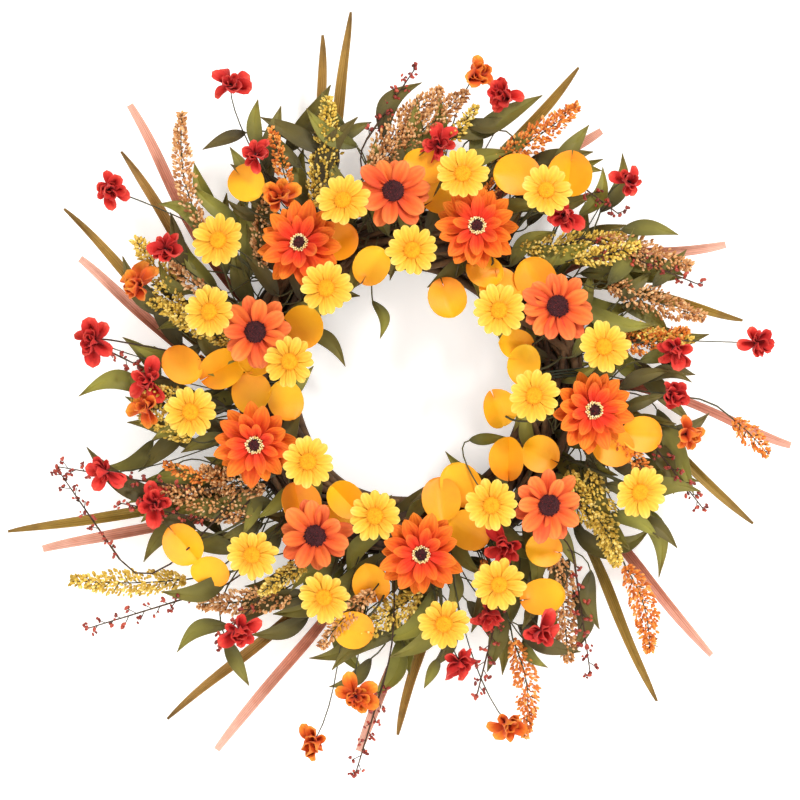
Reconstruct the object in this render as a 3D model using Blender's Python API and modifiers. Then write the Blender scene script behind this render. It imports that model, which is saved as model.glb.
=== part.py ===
"""Harvest door wreath: a bound vine ring, its hanger, and the wired picks pushed into it.

Frame: +Z up, the blooms face -Y and the door lies at +Y. The origin is the seat of the door hook, inside the
top of the hanger loop. Places on the wreath are given as a clock angle (0 at the top, clockwise from the
front), a distance beyond the ring's centreline, and a depth in front of the door.
"""

from math import cos, pi, radians, sin

import bmesh
import bpy
from mathutils import Matrix, Vector

MM = 0.001

# Ring of vines
RING_RADIUS = 112 * MM  # centreline
BUNDLE_RADIUS = 27 * MM
BACK_FLAT = 2 * MM  # taken off the back, where the ring lies on the door
BACK = BUNDLE_RADIUS - BACK_FLAT  # centreline to the door
CROWN = BACK + BUNDLE_RADIUS  # door to the ring's front
RING_STEPS = 40
BUNDLE_STEPS = 12

# Wires bound round the bundle, each sunk in its own groove
WIRE_RADIUS = 1.0 * MM
WIRE_SINK = 3.5 * MM  # bundle's surface to the middle of the wire
WIRE_PATH_RADIUS = BUNDLE_RADIUS - WIRE_SINK
WIRE_STEPS = 24
BINDING_CLOCKS = (86, 270)

# Hanger: an eye at the top of the back, and a D-shaped loop through it
EYE_HOLE_RADIUS = 1.9 * MM
EYE_CLEARANCE = 1.0 * MM  # eye to bundle
EYE_LEAN = 60  # degrees up from straight back
LOOP_WIRE_RADIUS = 1.0 * MM
LOOP_WIDTH = 36 * MM
LOOP_HEIGHT = 32 * MM
LOOP_CORNER = 4 * MM

# Fits
GAP = 0.3 * MM
SOCKET_CLEARANCE = 0.6 * MM
SOCKET_DEPTH = 8 * MM
STANDS_OUT = 2 * MM  # a stem stays straight this far past the bundle

# Blooms: diameter, petals, radius of the heart, and the depth at which the back of the head lies
DAISY_DIAMETER = 39 * MM
DAISY_PETALS = 8
DAISY_HEART = 6 * MM
DAISY_DEPTH = CROWN + 35 * MM
GERBERA_DIAMETER = 56 * MM
GERBERA_PETALS = 12
GERBERA_HEART = 9 * MM
GERBERA_DEPTH = CROWN + 26 * MM
ZINNIA_DIAMETER = 64 * MM
ZINNIA_PETALS = 12
ZINNIA_HEART = 8 * MM
ZINNIA_DEPTH = CROWN + 16 * MM
PETAL_THICKNESS = 1.4 * MM
PETAL_CUP = 0.14  # rise of the rim, of the head's radius
PETAL_NOTCH = 0.14  # dip between two petals, of the head's radius
BLOOM_STEM_RADIUS = 1.5 * MM

# Picks
PICK_STEM_RADIUS = 2.2 * MM
ARM_RADIUS = 1.1 * MM
ARM_OFFSET = 1.2 * MM  # each arm starts this far from the foot's middle, on its own side of it
ARM_STAGGER = 0.6 * MM  # each arm leaves the foot this much after the last
CRUMB_VOLUME = 0.01 * MM**3
ARM_FAN = 0.6  # how far each arm already turns to its own tip where it leaves the foot
GRASS_LEAN = -14  # degrees, so that the blades leave low on the rim
GRASS_WIDTH = 8 * MM
GRASS_THICKNESS = 1.3 * MM
GOLDEN_LEAF_DIAMETER = 30 * MM
GOLDEN_LEAF_THICKNESS = 1.4 * MM
GREEN_LEAF_LENGTH = 58 * MM
GREEN_LEAF_WIDTH = 17 * MM
GREEN_LEAF_THICKNESS = 1.6 * MM
PLUME_LENGTH = 66 * MM
PLUME_DIAMETER = 17 * MM
BLOSSOM_DIAMETER = 22 * MM
TWIG_LENGTH = 46 * MM
TWIG_DIAMETER = 9 * MM

# Derived places
EYE_WIRE_CENTRE = EYE_HOLE_RADIUS + WIRE_RADIUS
EYE_OUT = BUNDLE_RADIUS + EYE_CLEARANCE + EYE_WIRE_CENTRE + WIRE_RADIUS
HINGE_Z = LOOP_WIRE_RADIUS - LOOP_HEIGHT
CENTRE_Z = HINGE_Z - RING_RADIUS - EYE_OUT * sin(radians(EYE_LEAN))
DOOR_Y = BACK - EYE_OUT * cos(radians(EYE_LEAN))

# Each bloom: clock angle of the head, mm beyond the centreline, clock angle of its socket
DAISIES = (
    (1, -11, 6), (14, 51, 15), (35, 66, 34), (50, -25, 50), (79, 36, 78),
    (95, -19, 95), (115, 78, 115), (146, -3, 146), (156, 52, 156), (172, 69, 171),
    (195, -10, 195), (202, 60, 203), (223, 62, 222), (233, -16, 233), (263, 54, 263),
    (281, -20, 281), (290, 48, 292), (307, 68, 306), (319, -16, 318), (340, 35, 341),
)
GERBERAS = ((62, 14, 62), (131, 26, 131), (212, 22, 212), (289, 11, 287), (355, 34, 350))
ZINNIAS = ((23, 18, 24), (98, 27, 100), (176, 16, 177), (249, 13, 249), (322, 23, 324))

# Each grass pair: clock angle of its socket, then each tip's clock, mm beyond and depth in mm
GRASS = (
    (334, ((351, 180, 34), (346, 168, 26))),
    (295, ((315, 194, 36), (309, 176, 27))),
    (275, ((297, 188, 35), (291, 162, 26))),
    (236, ((250, 217, 32), (246, 200, 24))),
    (199, ((216, 207, 34), (208, 208, 26))),
    (174, ((188, 174, 30), (182, 160, 22))),
    (126, ((142, 198, 34), (132, 202, 25))),
    (90, ((112, 174, 34), (99, 187, 26))),
    (54, ((79, 150, 34), (66, 156, 27))),
    (20, ((37, 134, 34), (28, 167, 27))),
)
# Each spray: clock angle and lean of its socket, then its tips as kind, clock, mm beyond, mm before the crown
SPRAYS = {
    "golden_spray": (
        (332, 95, (("leaf", 335, 12, 6), ("leaf", 342, -17, 8))),
        (41, 75, (("leaf", 25, -40, 4), ("leaf", 33, -12, 9), ("leaf", 50, 14, 8), ("leaf", 37, 92, 13))),
        (112, 75, (("leaf", 127, -16, 8), ("leaf", 117, 3, 11), ("leaf", 107, 50, 6), ("leaf", 103, 70, 12))),
        (151, 75, (("leaf", 165, -21, 6), ("leaf", 158, 9, 9), ("leaf", 142, 50, 6), ("leaf", 148, 78, 10))),
        (275, 75, (("leaf", 298, -18, 6), ("leaf", 274, 64, 8), ("leaf", 276, 34, 4), ("leaf", 267, 9, 8))),
    ),
    "foliage_spray": (
        (330, 14, (("plume", 339, 82, -12), ("green", 329, 108, -14), ("green", 322, 88, -19))),
        (66, 14, (("plume", 73, 88, -10), ("green", 66, 84, -14), ("green", 58, 72, -19))),
        (124, 14, (("plume", 125, 70, -8), ("green", 133, 84, -14), ("green", 117, 104, -19))),
        (240, 14, (("plume", 241, 70, -10), ("green", 231, 76, -14), ("green", 249, 86, -19))),
        (284, 14, (("plume", 294, 100, -10), ("green", 300, 92, -16), ("green", 285, 84, -19))),
    ),
    "blossom_spray": (
        (298, 44, (("blossom", 303, 162, 8), ("blossom", 299, 100, 10), ("blossom", 280, 130, 4))),
        (331, 44, (("blossom", 329, 154, 8), ("blossom", 326, 98, 10), ("twig", 335, 120, 0))),
        (29, 40, (("blossom", 18, 120, 6), ("blossom", 47, 116, 13), ("twig", 27, 128, 2))),
        (90, 42, (("blossom", 82, 152, 8), ("blossom", 100, 102, 6), ("twig", 92, 124, 2))),
        (163, 42, (("blossom", 170, 100, 8), ("blossom", 153, 102, 8), ("twig", 188, 176, -6))),
    ),
}
SPRAY_COLOURS = {"golden_spray": "D98A12", "foliage_spray": "5F5F22", "blossom_spray": "B3261A"}


def collection(name, hidden=False):
    """A new collection in the scene, left out of renders when it is hidden."""
    made = bpy.data.collections.new(name)
    made.hide_render = hidden
    bpy.context.scene.collection.children.link(made)
    return made


def material(name, colour, roughness, metallic=0.0):
    """A Principled material of one sRGB hex colour."""
    made = bpy.data.materials.new(name)
    made.use_nodes = True
    shader = made.node_tree.nodes["Principled BSDF"]
    values = [int(colour[i : i + 2], 16) / 255 for i in (0, 2, 4)]
    linear = [v / 12.92 if v <= 0.04045 else ((v + 0.055) / 1.055) ** 2.4 for v in values]
    shader.inputs["Base Color"].default_value = (*linear, 1)
    shader.inputs["Roughness"].default_value = roughness
    shader.inputs["Metallic"].default_value = metallic
    return made


def radial(clock):
    """The unit vector outward from the wreath's centre at a clock angle."""
    return Vector((sin(radians(clock)), 0, cos(radians(clock))))


def at(clock, beyond, depth):
    """The point at a clock angle, beyond the ring's centreline, and in front of the door."""
    return Vector((0, DOOR_Y - depth, CENTRE_Z)) + radial(clock) * (RING_RADIUS + beyond)


def root(clock, lean):
    """The bundle's centre at a clock angle, and the direction out of it: lean 0 outward, 90 to the front."""
    out = radial(clock) * cos(radians(lean)) + Vector((0, -sin(radians(lean)), 0))
    return at(clock, 0, BACK), out


def facing(place, direction):
    """The matrix that puts a shape's origin at a place, with its +Z along a direction."""
    return Matrix.Translation(place) @ direction.to_track_quat("Z", "Y").to_matrix().to_4x4()


def finish(obj, home, finish_material=None):
    """Links an object into its collection, with its material and smooth shading."""
    home.objects.link(obj)
    if finish_material:
        obj.data.materials.append(finish_material)
    if obj.type == "MESH":
        obj.data.shade_smooth()
        obj.data.set_sharp_from_angle(angle=radians(40))
    if home.hide_render:
        obj.hide_render = True
        obj.display_type = "WIRE"
    return obj


def from_bmesh(name, bm, home, finish_material=None):
    """An object of a bmesh with its faces turned outward."""
    bmesh.ops.recalc_face_normals(bm, faces=bm.faces)
    mesh = bpy.data.meshes.new(name)
    bm.to_mesh(mesh)
    bm.free()
    return finish(bpy.data.objects.new(name, mesh), home, finish_material)


def wire(name, points, radius, home, finish_material=None, cyclic=False, sides=6):
    """A wire or stem along points, as a bevelled curve."""
    curve = bpy.data.curves.new(name, "CURVE")
    curve.dimensions = "3D"
    curve.bevel_depth = radius
    curve.bevel_resolution = (sides - 4) // 2
    curve.use_fill_caps = not cyclic
    spline = curve.splines.new("POLY")
    spline.points.add(len(points) - 1)
    for point, place in zip(spline.points, points):
        point.co = (*place, 1)
    spline.use_cyclic_u = cyclic
    return finish(bpy.data.objects.new(name, curve), home, finish_material)


def solid_wire(name, points, radius, home, finish_material=None, cyclic=False, sides=6):
    """A wire made a mesh with welded caps, so that it can be joined to other pieces."""
    guide = wire(name + "_guide", points, radius, home, cyclic=cyclic, sides=sides)
    bpy.context.view_layer.update()
    graph = bpy.context.evaluated_depsgraph_get()
    mesh = bpy.data.meshes.new_from_object(guide.evaluated_get(graph))
    bpy.data.objects.remove(guide)
    bm = bmesh.new()
    bm.from_mesh(mesh)
    bpy.data.meshes.remove(mesh)
    bmesh.ops.remove_doubles(bm, verts=bm.verts, dist=0.00001)
    return from_bmesh(name, bm, home, finish_material)


def boolean(obj, other, operation, solver="EXACT"):
    """Cuts or joins another object, which stays hidden."""
    modifier = obj.modifiers.new(other.name, "BOOLEAN")
    modifier.object = other
    modifier.operation = operation
    modifier.solver = solver


def merge(foot, others):
    """Joins a pick's arms and tips to its foot. Arms part at shallow angles, which EXACT loses."""
    for other in others:
        boolean(foot, other, "UNION", "MANIFOLD")


def drop_crumbs(obj):
    """Bakes a pick's joins, and removes the loose slivers without volume that they can leave."""
    bpy.context.view_layer.update()
    graph = bpy.context.evaluated_depsgraph_get()
    mesh = bpy.data.meshes.new_from_object(obj.evaluated_get(graph))
    obj.modifiers.clear()
    bm = bmesh.new()
    bm.from_mesh(mesh)
    bpy.data.meshes.remove(mesh)
    crumbs = []
    for island in islands(bm):
        faces = {face for vert in island for face in vert.link_faces}
        if volume(faces) < CRUMB_VOLUME:
            crumbs += island
    bmesh.ops.delete(bm, geom=crumbs, context="VERTS")
    bm.to_mesh(obj.data)
    bm.free()


def islands(bm):
    """The vertices of each loose part of a bmesh, as lists."""
    left = set(bm.verts)
    found = []
    while left:
        island = [left.pop()]
        for vert in island:
            for edge in vert.link_edges:
                other = edge.other_vert(vert)
                if other in left:
                    left.remove(other)
                    island.append(other)
        found.append(island)
    return found


def volume(faces):
    """The volume that a closed set of faces holds."""
    total = 0
    for face in faces:
        first, *rest = [vert.co for vert in face.verts]
        for near, far in zip(rest, rest[1:]):
            total += first.dot(near.cross(far)) / 6
    return total


def loft(name, rings, home, finish_material=None):
    """A closed solid through rings of equally many points, capped at both ends."""
    bm = bmesh.new()
    loops = [[bm.verts.new(point) for point in ring] for ring in rings]
    for near, far in zip(loops, loops[1:]):
        for i in range(len(near)):
            j = (i + 1) % len(near)
            bm.faces.new((near[i], near[j], far[j], far[i]))
    bm.faces.new(loops[0])
    bm.faces.new(loops[-1])
    return from_bmesh(name, bm, home, finish_material)


def bend(start, way, end, arrive, pull, steps=4):
    """Points on a smooth bend from start along way to end, where it runs along arrive."""
    first = start + way * pull
    last = end - arrive * pull
    points = []
    for i in range(steps + 1):
        t = i / steps
        s = 1 - t
        points.append(start * s**3 + first * 3 * s * s * t + last * 3 * s * t * t + end * t**3)
    return points


def ring_of_vines(home, cutters, sockets):
    """The bundle: a turned ring, flat at the back, with grooves for its wires and sockets for the stems."""
    mesh = bpy.data.meshes.new("vine_ring")
    turns = [-2 * pi * k / BUNDLE_STEPS for k in range(BUNDLE_STEPS)]
    profile = [(RING_RADIUS + BUNDLE_RADIUS * cos(t), 0, BUNDLE_RADIUS * sin(t)) for t in turns]
    mesh.from_pydata(profile, [(k, (k + 1) % BUNDLE_STEPS) for k in range(BUNDLE_STEPS)], [])
    ring = bpy.data.objects.new("vine_ring", mesh)
    ring.location = at(0, -RING_RADIUS, BACK)
    ring.rotation_euler = (pi / 2, 0, 0)
    finish(ring, home, material("vine", "4A3524", 0.85))
    turn_round(ring, RING_STEPS)

    bm = bmesh.new()
    width = 3 * (RING_RADIUS + BUNDLE_RADIUS)
    slab = Matrix.Diagonal((width, 4 * BUNDLE_RADIUS, width, 1))
    centre = Matrix.Translation((0, DOOR_Y + 2 * BUNDLE_RADIUS, CENTRE_Z))
    bmesh.ops.create_cube(bm, size=1, matrix=centre @ slab)
    boolean(ring, from_bmesh("flat_back_cutter", bm, cutters), "DIFFERENCE")
    for number, clock in enumerate((0, *BINDING_CLOCKS)):
        boolean(ring, groove(f"groove_cutter_{number}", clock, cutters), "DIFFERENCE")

    bm = bmesh.new()
    for clock, lean, radius in sockets:
        centre, out = root(clock, lean)
        near = BUNDLE_RADIUS - SOCKET_DEPTH - GAP
        far = BUNDLE_RADIUS + 3 * STANDS_OUT
        bmesh.ops.create_cone(
            bm,
            cap_ends=True,
            segments=6,
            radius1=radius + SOCKET_CLEARANCE,
            radius2=radius + SOCKET_CLEARANCE,
            depth=far - near,
            matrix=facing(centre + out * (near + far) / 2, out),
        )
    boolean(ring, from_bmesh("socket_cutter", bm, cutters), "DIFFERENCE")


def turn_round(obj, steps):
    """Turns a profile a full circle about its object's own Z."""
    screw = obj.modifiers.new("turn", "SCREW")
    screw.axis = "Z"
    screw.angle = 2 * pi
    screw.screw_offset = 0
    screw.steps = screw.render_steps = steps
    screw.use_merge_vertices = True
    screw.merge_threshold = 0.00001


def groove(name, clock, cutters):
    """A cutter for the groove that a wire lies in, round the bundle at a clock angle."""
    inner = WIRE_PATH_RADIUS - WIRE_RADIUS - GAP
    outer = BUNDLE_RADIUS * 1.15
    half = WIRE_RADIUS + GAP
    mesh = bpy.data.meshes.new(name)
    corners = [(inner, 0, half), (outer, 0, half), (outer, 0, -half), (inner, 0, -half)]
    mesh.from_pydata(corners, [(0, 1), (1, 2), (2, 3), (3, 0)], [])
    cutter = bpy.data.objects.new(name, mesh)
    cutter.matrix_world = round_bundle(clock)
    finish(cutter, cutters)
    turn_round(cutter, WIRE_STEPS)
    return cutter


def round_bundle(clock):
    """The frame of a circle round the bundle: X outward, Y to the front, Z along the ring."""
    out = radial(clock)
    front = Vector((0, -1, 0))
    along = out.cross(front)
    turn = Matrix((out, front, along)).transposed().to_4x4()
    return Matrix.Translation(at(clock, 0, BACK)) @ turn


def circle(frame, radius, steps):
    """Points of a circle in a frame's XY plane."""
    turns = [2 * pi * k / steps for k in range(steps)]
    return [frame @ Vector((radius * cos(t), radius * sin(t), 0)) for t in turns]


def hanger(home, cutters, steel):
    """The eye wired to the top of the bundle, and the loop that hangs on the door hook."""
    centre, out = root(0, EYE_LEAN - 90)
    wrap = circle(round_bundle(0), WIRE_PATH_RADIUS, WIRE_STEPS)
    anchor = solid_wire("hanger_anchor", wrap, WIRE_RADIUS, home, steel, cyclic=True)
    neck = [centre + out * WIRE_PATH_RADIUS, centre + out * (EYE_OUT - EYE_WIRE_CENTRE)]
    boolean(anchor, solid_wire("hanger_neck", neck, WIRE_RADIUS * 0.96, cutters), "UNION")
    side_on = facing(centre + out * EYE_OUT, Vector((1, 0, 0)))
    eye = circle(side_on, EYE_WIRE_CENTRE, 16)
    boolean(anchor, solid_wire("hanger_eye", eye, WIRE_RADIUS, cutters, cyclic=True), "UNION")

    half = LOOP_WIDTH / 2
    arch = LOOP_HEIGHT - half
    corner = LOOP_CORNER
    points = [Vector((x, 0, 0)) for x in (-half / 2, 0, half / 2)]
    turns = [radians(15 * k) for k in range(-6, 1, 2)]
    points += [Vector((half - corner + corner * cos(t), 0, corner + corner * sin(t))) for t in turns]
    turns = [radians(15 * k) for k in range(13)]
    points += [Vector((half * cos(t), 0, arch + half * sin(t))) for t in turns]
    turns = [radians(15 * k) for k in range(12, 19, 2)]
    points += [Vector((corner - half + corner * cos(t), 0, corner + corner * sin(t))) for t in turns]
    loop = wire("hanger_loop", points, LOOP_WIRE_RADIUS, home, steel, cyclic=True)
    loop.location = (0, 0, HINGE_Z)


def bloom(name, place, size, petals, heart, depth, home, cutters, petal_material):
    """One bloom: a scalloped head facing the front on a stem that bends out of its socket."""
    clock, beyond, root_clock = place
    radius = size / 2
    lean = bloom_lean(beyond)
    thick = PETAL_THICKNESS
    cup = radius * PETAL_CUP
    sections = (
        (heart * 0.4, 0, 0),
        (radius, cup, PETAL_NOTCH),
        (radius, cup + thick, PETAL_NOTCH),
        (heart, cup * 0.5 + thick, 0),
        (heart * 0.8, cup + thick + heart * 0.2, 0),
    )
    centre = at(clock, beyond * MM, depth)
    frame = facing(centre, Vector((0, -1, 0)))
    rings = []
    for reach, height, notch in sections:
        ring = []
        for k in range(2 * petals):
            turn = pi * k / petals
            spread = reach * (1 - notch * (k % 2))
            ring.append(frame @ Vector((spread * cos(turn), spread * sin(turn), height)))
        rings.append(ring)
    head = loft(name, rings, home, petal_material)

    bundle, out = root(root_clock, lean)
    start = bundle + out * (BUNDLE_RADIUS - SOCKET_DEPTH)
    leave = bundle + out * (BUNDLE_RADIUS + STANDS_OUT)
    back = Vector((0, -1, 0))
    reach = (centre - leave).length
    path = [start, *bend(leave, out, centre + back * thick, back, reach * 0.45)]
    boolean(head, solid_wire(name + "_stem", path, BLOOM_STEM_RADIUS, cutters), "UNION")


def bloom_lean(beyond):
    """How far a bloom's socket leans: forward under the ring's crown, outward for a head beyond the rim."""
    return 90 - max(-50, min(62, beyond * 1.6))


def stub(name, clock, lean, home, cutters, pick_material):
    """The wrapped foot of a pick in its socket. Gives the object, where its arms leave, and which way."""
    bundle, out = root(clock, lean)
    start = bundle + out * (BUNDLE_RADIUS - SOCKET_DEPTH)
    end = bundle + out * (BUNDLE_RADIUS + 2 * STANDS_OUT)
    foot = solid_wire(name, [start, end], PICK_STEM_RADIUS, home, pick_material)
    return foot, bundle + out * (BUNDLE_RADIUS + STANDS_OUT), out


def blade(name, points, width, thickness, cutters):
    """A flat leaf along points: narrow at its foot, widest before the middle, and drawn out to its tip."""
    rings = []
    last = len(points) - 1
    for i, point in enumerate(points):
        along = (points[min(i + 1, last)] - points[max(i - 1, 0)]).normalized()
        side = along.cross(Vector((0, 1, 0))).normalized()
        face = side.cross(along)
        t = i / last
        half = width / 2 * (0.3 + 0.7 * sin(pi * min(1, t * 1.4) / 2)) * (1 - t**3) + 0.5 * MM
        thin = thickness / 2 * (1 - 0.5 * t)
        rings.append([point + side * half, point + face * thin, point - side * half, point - face * thin])
    return loft(name, rings, cutters)


def tip_solid(name, kind, place, along, cutters):
    """The leaf, plume, blossom or twig at the end of an arm."""
    front = Vector((0, -1, 0))
    if kind == "green":
        ahead = [place + along * (GREEN_LEAF_LENGTH * t) for t in (-0.5, -0.3, -0.1, 0.1, 0.3, 0.5)]
        return blade(name, ahead, GREEN_LEAF_WIDTH, GREEN_LEAF_THICKNESS, cutters)
    bm = bmesh.new()
    if kind == "leaf":
        bmesh.ops.create_cone(
            bm,
            cap_ends=True,
            segments=10,
            radius1=GOLDEN_LEAF_DIAMETER / 2,
            radius2=GOLDEN_LEAF_DIAMETER / 2,
            depth=GOLDEN_LEAF_THICKNESS,
            matrix=facing(place, front),
        )
        return from_bmesh(name, bm, cutters)
    length, across = {
        "plume": (PLUME_LENGTH, PLUME_DIAMETER),
        "twig": (TWIG_LENGTH, TWIG_DIAMETER),
        "blossom": (BLOSSOM_DIAMETER, BLOSSOM_DIAMETER),
    }[kind]
    shape = facing(place, along) @ Matrix.Diagonal((across, across, length, 1))
    bmesh.ops.create_uvsphere(bm, u_segments=7, v_segments=5, radius=0.5, matrix=shape)
    return from_bmesh(name, bm, cutters)


def spray(name, root_clock, lean, tips, home, cutters, spray_material):
    """A pick with several arms, each ending in a leaf, plume, blossom or twig."""
    foot, leave, out = stub(name, root_clock, lean, home, cutters, spray_material)
    for number, (kind, clock, beyond, depth) in enumerate(tips):
        place = at(clock, beyond * MM, CROWN + depth * MM)
        flat = Vector((place.x - leave.x, 0, place.z - leave.z)).normalized()
        along = flat if kind == "leaf" else (flat + radial(clock)).normalized()
        solid = tip_solid(f"{name}_tip_{number}", kind, place, along, cutters)
        turn = Matrix.Rotation(2 * pi * number / len(tips), 3, out)
        start = leave + out * (number * ARM_STAGGER) + turn @ out.orthogonal().normalized() * ARM_OFFSET
        reach = (place - start).length
        way = (out + (place - start) * (ARM_FAN / reach)).normalized()
        path = bend(start, way, place + along * MM, along, reach * 0.35)
        arm = solid_wire(f"{name}_arm_{number}", path, ARM_RADIUS, cutters, sides=4)
        merge(foot, (arm, solid))
    drop_crumbs(foot)


def grass_pair(name, root_clock, tips, home, cutters, grass_material):
    """Two long blades on one foot, which sweep clockwise as they run outward."""
    foot, leave, out = stub(name, root_clock, GRASS_LEAN, home, cutters, grass_material)
    for number, (clock, beyond, depth) in enumerate(tips):
        tip = at(clock, beyond * MM, depth * MM)
        along = (tip - leave).normalized()
        aside = along.cross(out.cross(along)).normalized() if number else out
        path = bend(leave, (along + aside).normalized(), tip, along, (tip - leave).length * 0.3, steps=6)
        merge(foot, [blade(f"{name}_blade_{number}", path, GRASS_WIDTH, GRASS_THICKNESS, cutters)])
    drop_crumbs(foot)


def main():
    for obj in list(bpy.data.objects):
        bpy.data.objects.remove(obj)
    home = collection("harvest_door_wreath")
    cutters = collection("cutters", hidden=True)
    steel = material("wire", "3B3F33", 0.4, 0.9)

    sockets = [(place[2], bloom_lean(place[1]), BLOOM_STEM_RADIUS) for place in DAISIES + GERBERAS + ZINNIAS]
    sockets += [(clock, GRASS_LEAN, PICK_STEM_RADIUS) for clock, _ in GRASS]
    sockets += [(clock, lean, PICK_STEM_RADIUS) for kind in SPRAYS.values() for clock, lean, _ in kind]
    ring_of_vines(home, cutters, sockets)
    for number, clock in enumerate(BINDING_CLOCKS, 1):
        path = circle(round_bundle(clock), WIRE_PATH_RADIUS, WIRE_STEPS)
        wire(f"binding_wire_{number}", path, WIRE_RADIUS, home, steel, cyclic=True)
    hanger(home, cutters, steel)

    yellow = material("daisy_petals", "F6C832", 0.7)
    orange = material("gerbera_petals", "E8672A", 0.7)
    flame = material("zinnia_petals", "EA7A1E", 0.7)
    for number, place in enumerate(DAISIES, 1):
        name = f"daisy_{number:02d}"
        sizes = (DAISY_DIAMETER, DAISY_PETALS, DAISY_HEART, DAISY_DEPTH)
        bloom(name, place, *sizes, home, cutters, yellow)
    for number, place in enumerate(GERBERAS, 1):
        name = f"gerbera_{number}"
        sizes = (GERBERA_DIAMETER, GERBERA_PETALS, GERBERA_HEART, GERBERA_DEPTH)
        bloom(name, place, *sizes, home, cutters, orange)
    for number, place in enumerate(ZINNIAS, 1):
        name = f"zinnia_{number}"
        sizes = (ZINNIA_DIAMETER, ZINNIA_PETALS, ZINNIA_HEART, ZINNIA_DEPTH)
        bloom(name, place, *sizes, home, cutters, flame)

    straw = material("grass", "7A6A24", 0.75)
    for number, (clock, tips) in enumerate(GRASS, 1):
        grass_pair(f"grass_pair_{number:02d}", clock, tips, home, cutters, straw)
    for kind, picks in SPRAYS.items():
        colour = material(kind, SPRAY_COLOURS[kind], 0.7)
        for number, (clock, lean, tips) in enumerate(picks, 1):
            spray(f"{kind}_{number}", clock, lean, tips, home, cutters, colour)


main()
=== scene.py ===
"""Looks of the harvest door wreath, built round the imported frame.

Cloth petals, leaves and grasses, beaded seed plumes, berry twigs, wired stems and the bound vines are made
here in the frame's own axes: +Z up, the blooms facing -Y, the door at +Y.
"""

import logging
import math
import random
from collections.abc import Sequence
from dataclasses import dataclass, field
from enum import Enum

import bpy
import numpy as np
from mathutils import Matrix, Vector

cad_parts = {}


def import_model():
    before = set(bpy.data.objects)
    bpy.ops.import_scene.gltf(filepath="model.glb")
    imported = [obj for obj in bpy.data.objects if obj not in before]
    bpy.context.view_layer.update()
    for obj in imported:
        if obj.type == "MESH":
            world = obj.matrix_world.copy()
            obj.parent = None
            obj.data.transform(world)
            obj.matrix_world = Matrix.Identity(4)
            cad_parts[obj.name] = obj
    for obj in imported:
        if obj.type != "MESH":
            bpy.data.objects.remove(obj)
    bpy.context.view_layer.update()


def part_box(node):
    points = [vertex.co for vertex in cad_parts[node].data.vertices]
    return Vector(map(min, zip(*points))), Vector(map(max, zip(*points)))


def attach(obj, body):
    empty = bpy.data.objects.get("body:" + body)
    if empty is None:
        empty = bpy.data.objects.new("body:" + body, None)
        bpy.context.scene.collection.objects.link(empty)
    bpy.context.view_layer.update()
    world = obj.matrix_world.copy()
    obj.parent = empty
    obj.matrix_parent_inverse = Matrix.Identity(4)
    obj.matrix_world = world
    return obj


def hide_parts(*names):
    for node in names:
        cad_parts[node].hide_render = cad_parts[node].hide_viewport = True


LOG = logging.getLogger("wreath")
MM = 0.001
FRONT = Vector((0.0, -1.0, 0.0))

Inputs = bpy.types.NodeOutputs
Value = float | int | bpy.types.Object | bpy.types.Material
Points = Sequence[Vector | Sequence[float]]
Faces = list[tuple[int, ...]]
Ends = tuple[float, float, float, float]


def linear(colour: str) -> tuple[float, float, float, float]:
    """Turns an sRGB hex colour into linear RGBA.

    Args:
        colour: Six hex digits.

    Returns:
        The colour as a shader socket takes it.
    """
    values = [int(colour[i : i + 2], 16) / 255 for i in (0, 2, 4)]
    return (*(v / 12.92 if v <= 0.04045 else ((v + 0.055) / 1.055) ** 2.4 for v in values), 1.0)


# What the sum, noise and chance nodes are asked for most often.
MATH, NOISE, CHANCE = "ShaderNodeMath", "ShaderNodeTexNoise", "FunctionNodeRandomValue"
SUMS = ("ADD", "SUBTRACT", "MULTIPLY", "DIVIDE", "POWER", "MAXIMUM", "SINE", "COSINE", "SQRT", "ROUND")
ADD, SUBTRACT, MULTIPLY, DIVIDE, POWER, MAXIMUM, SINE, COSINE, SQRT, ROUND = (
    {"operation": name} for name in SUMS
)
TONE = {"data_type": "FLOAT", "domain": "INSTANCE"}
FLOAT = {"data_type": "FLOAT"}
MIX_RESULT = 2  # the colour output of a mix node
FULL_TURN = 2 * math.pi


class Graph:
    """A node tree of either kind, with one way of adding a node."""

    def __init__(self, tree: bpy.types.NodeTree) -> None:
        """Wraps a tree.

        Args:
            tree: The shader or geometry tree to add to.
        """
        self.tree = tree

    def add(
        self, kind: str, settings: dict | None = None, links: dict | tuple | None = None
    ) -> bpy.types.Node:
        """Adds a node with its settings, and links or sets its inputs.

        Args:
            kind: The node's type name.
            settings: Node properties by name, and a colour ramp's stops as places and hex colours.
            links: Values or output sockets, in order or by input name or index.

        Returns:
            The new node.
        """
        node = self.tree.nodes.new(kind)
        for key, value in (settings or {}).items():
            if key != "stops":
                setattr(node, key, value)
                continue
            elements = node.color_ramp.elements
            while len(elements) < len(value):
                elements.new(0.5)
            for element, (position, colour) in zip(elements, value):
                element.position = position
                element.color = linear(colour)
        given = dict(enumerate(links)) if isinstance(links, tuple) else links or {}
        for key, value in given.items():
            if isinstance(key, int):
                socket = node.inputs[key]
            else:
                socket = next(s for s in node.inputs if s.name == key and s.enabled)
            if isinstance(value, bpy.types.NodeSocket):
                self.tree.links.new(value, socket)
            else:
                socket.default_value = value
        return node

    def out(
        self, kind: str, settings: dict | None = None, links: dict | tuple | None = None, name: str = ""
    ) -> bpy.types.NodeSocket:
        """Adds a node as add does, and gives one output.

        Args:
            kind: The node's type name.
            settings: As for add.
            links: As for add.
            name: The output's name, or nothing for the first that is enabled.

        Returns:
            The output.
        """
        node = self.add(kind, settings, links)
        return next(s for s in node.outputs if s.enabled and name in ("", s.name))


# ---------------------------------------------------------------- finishes


class Finishes:
    """The finishes made so far, by name, so that each is made once."""

    made: dict[str, bpy.types.Material] = {}


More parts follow.
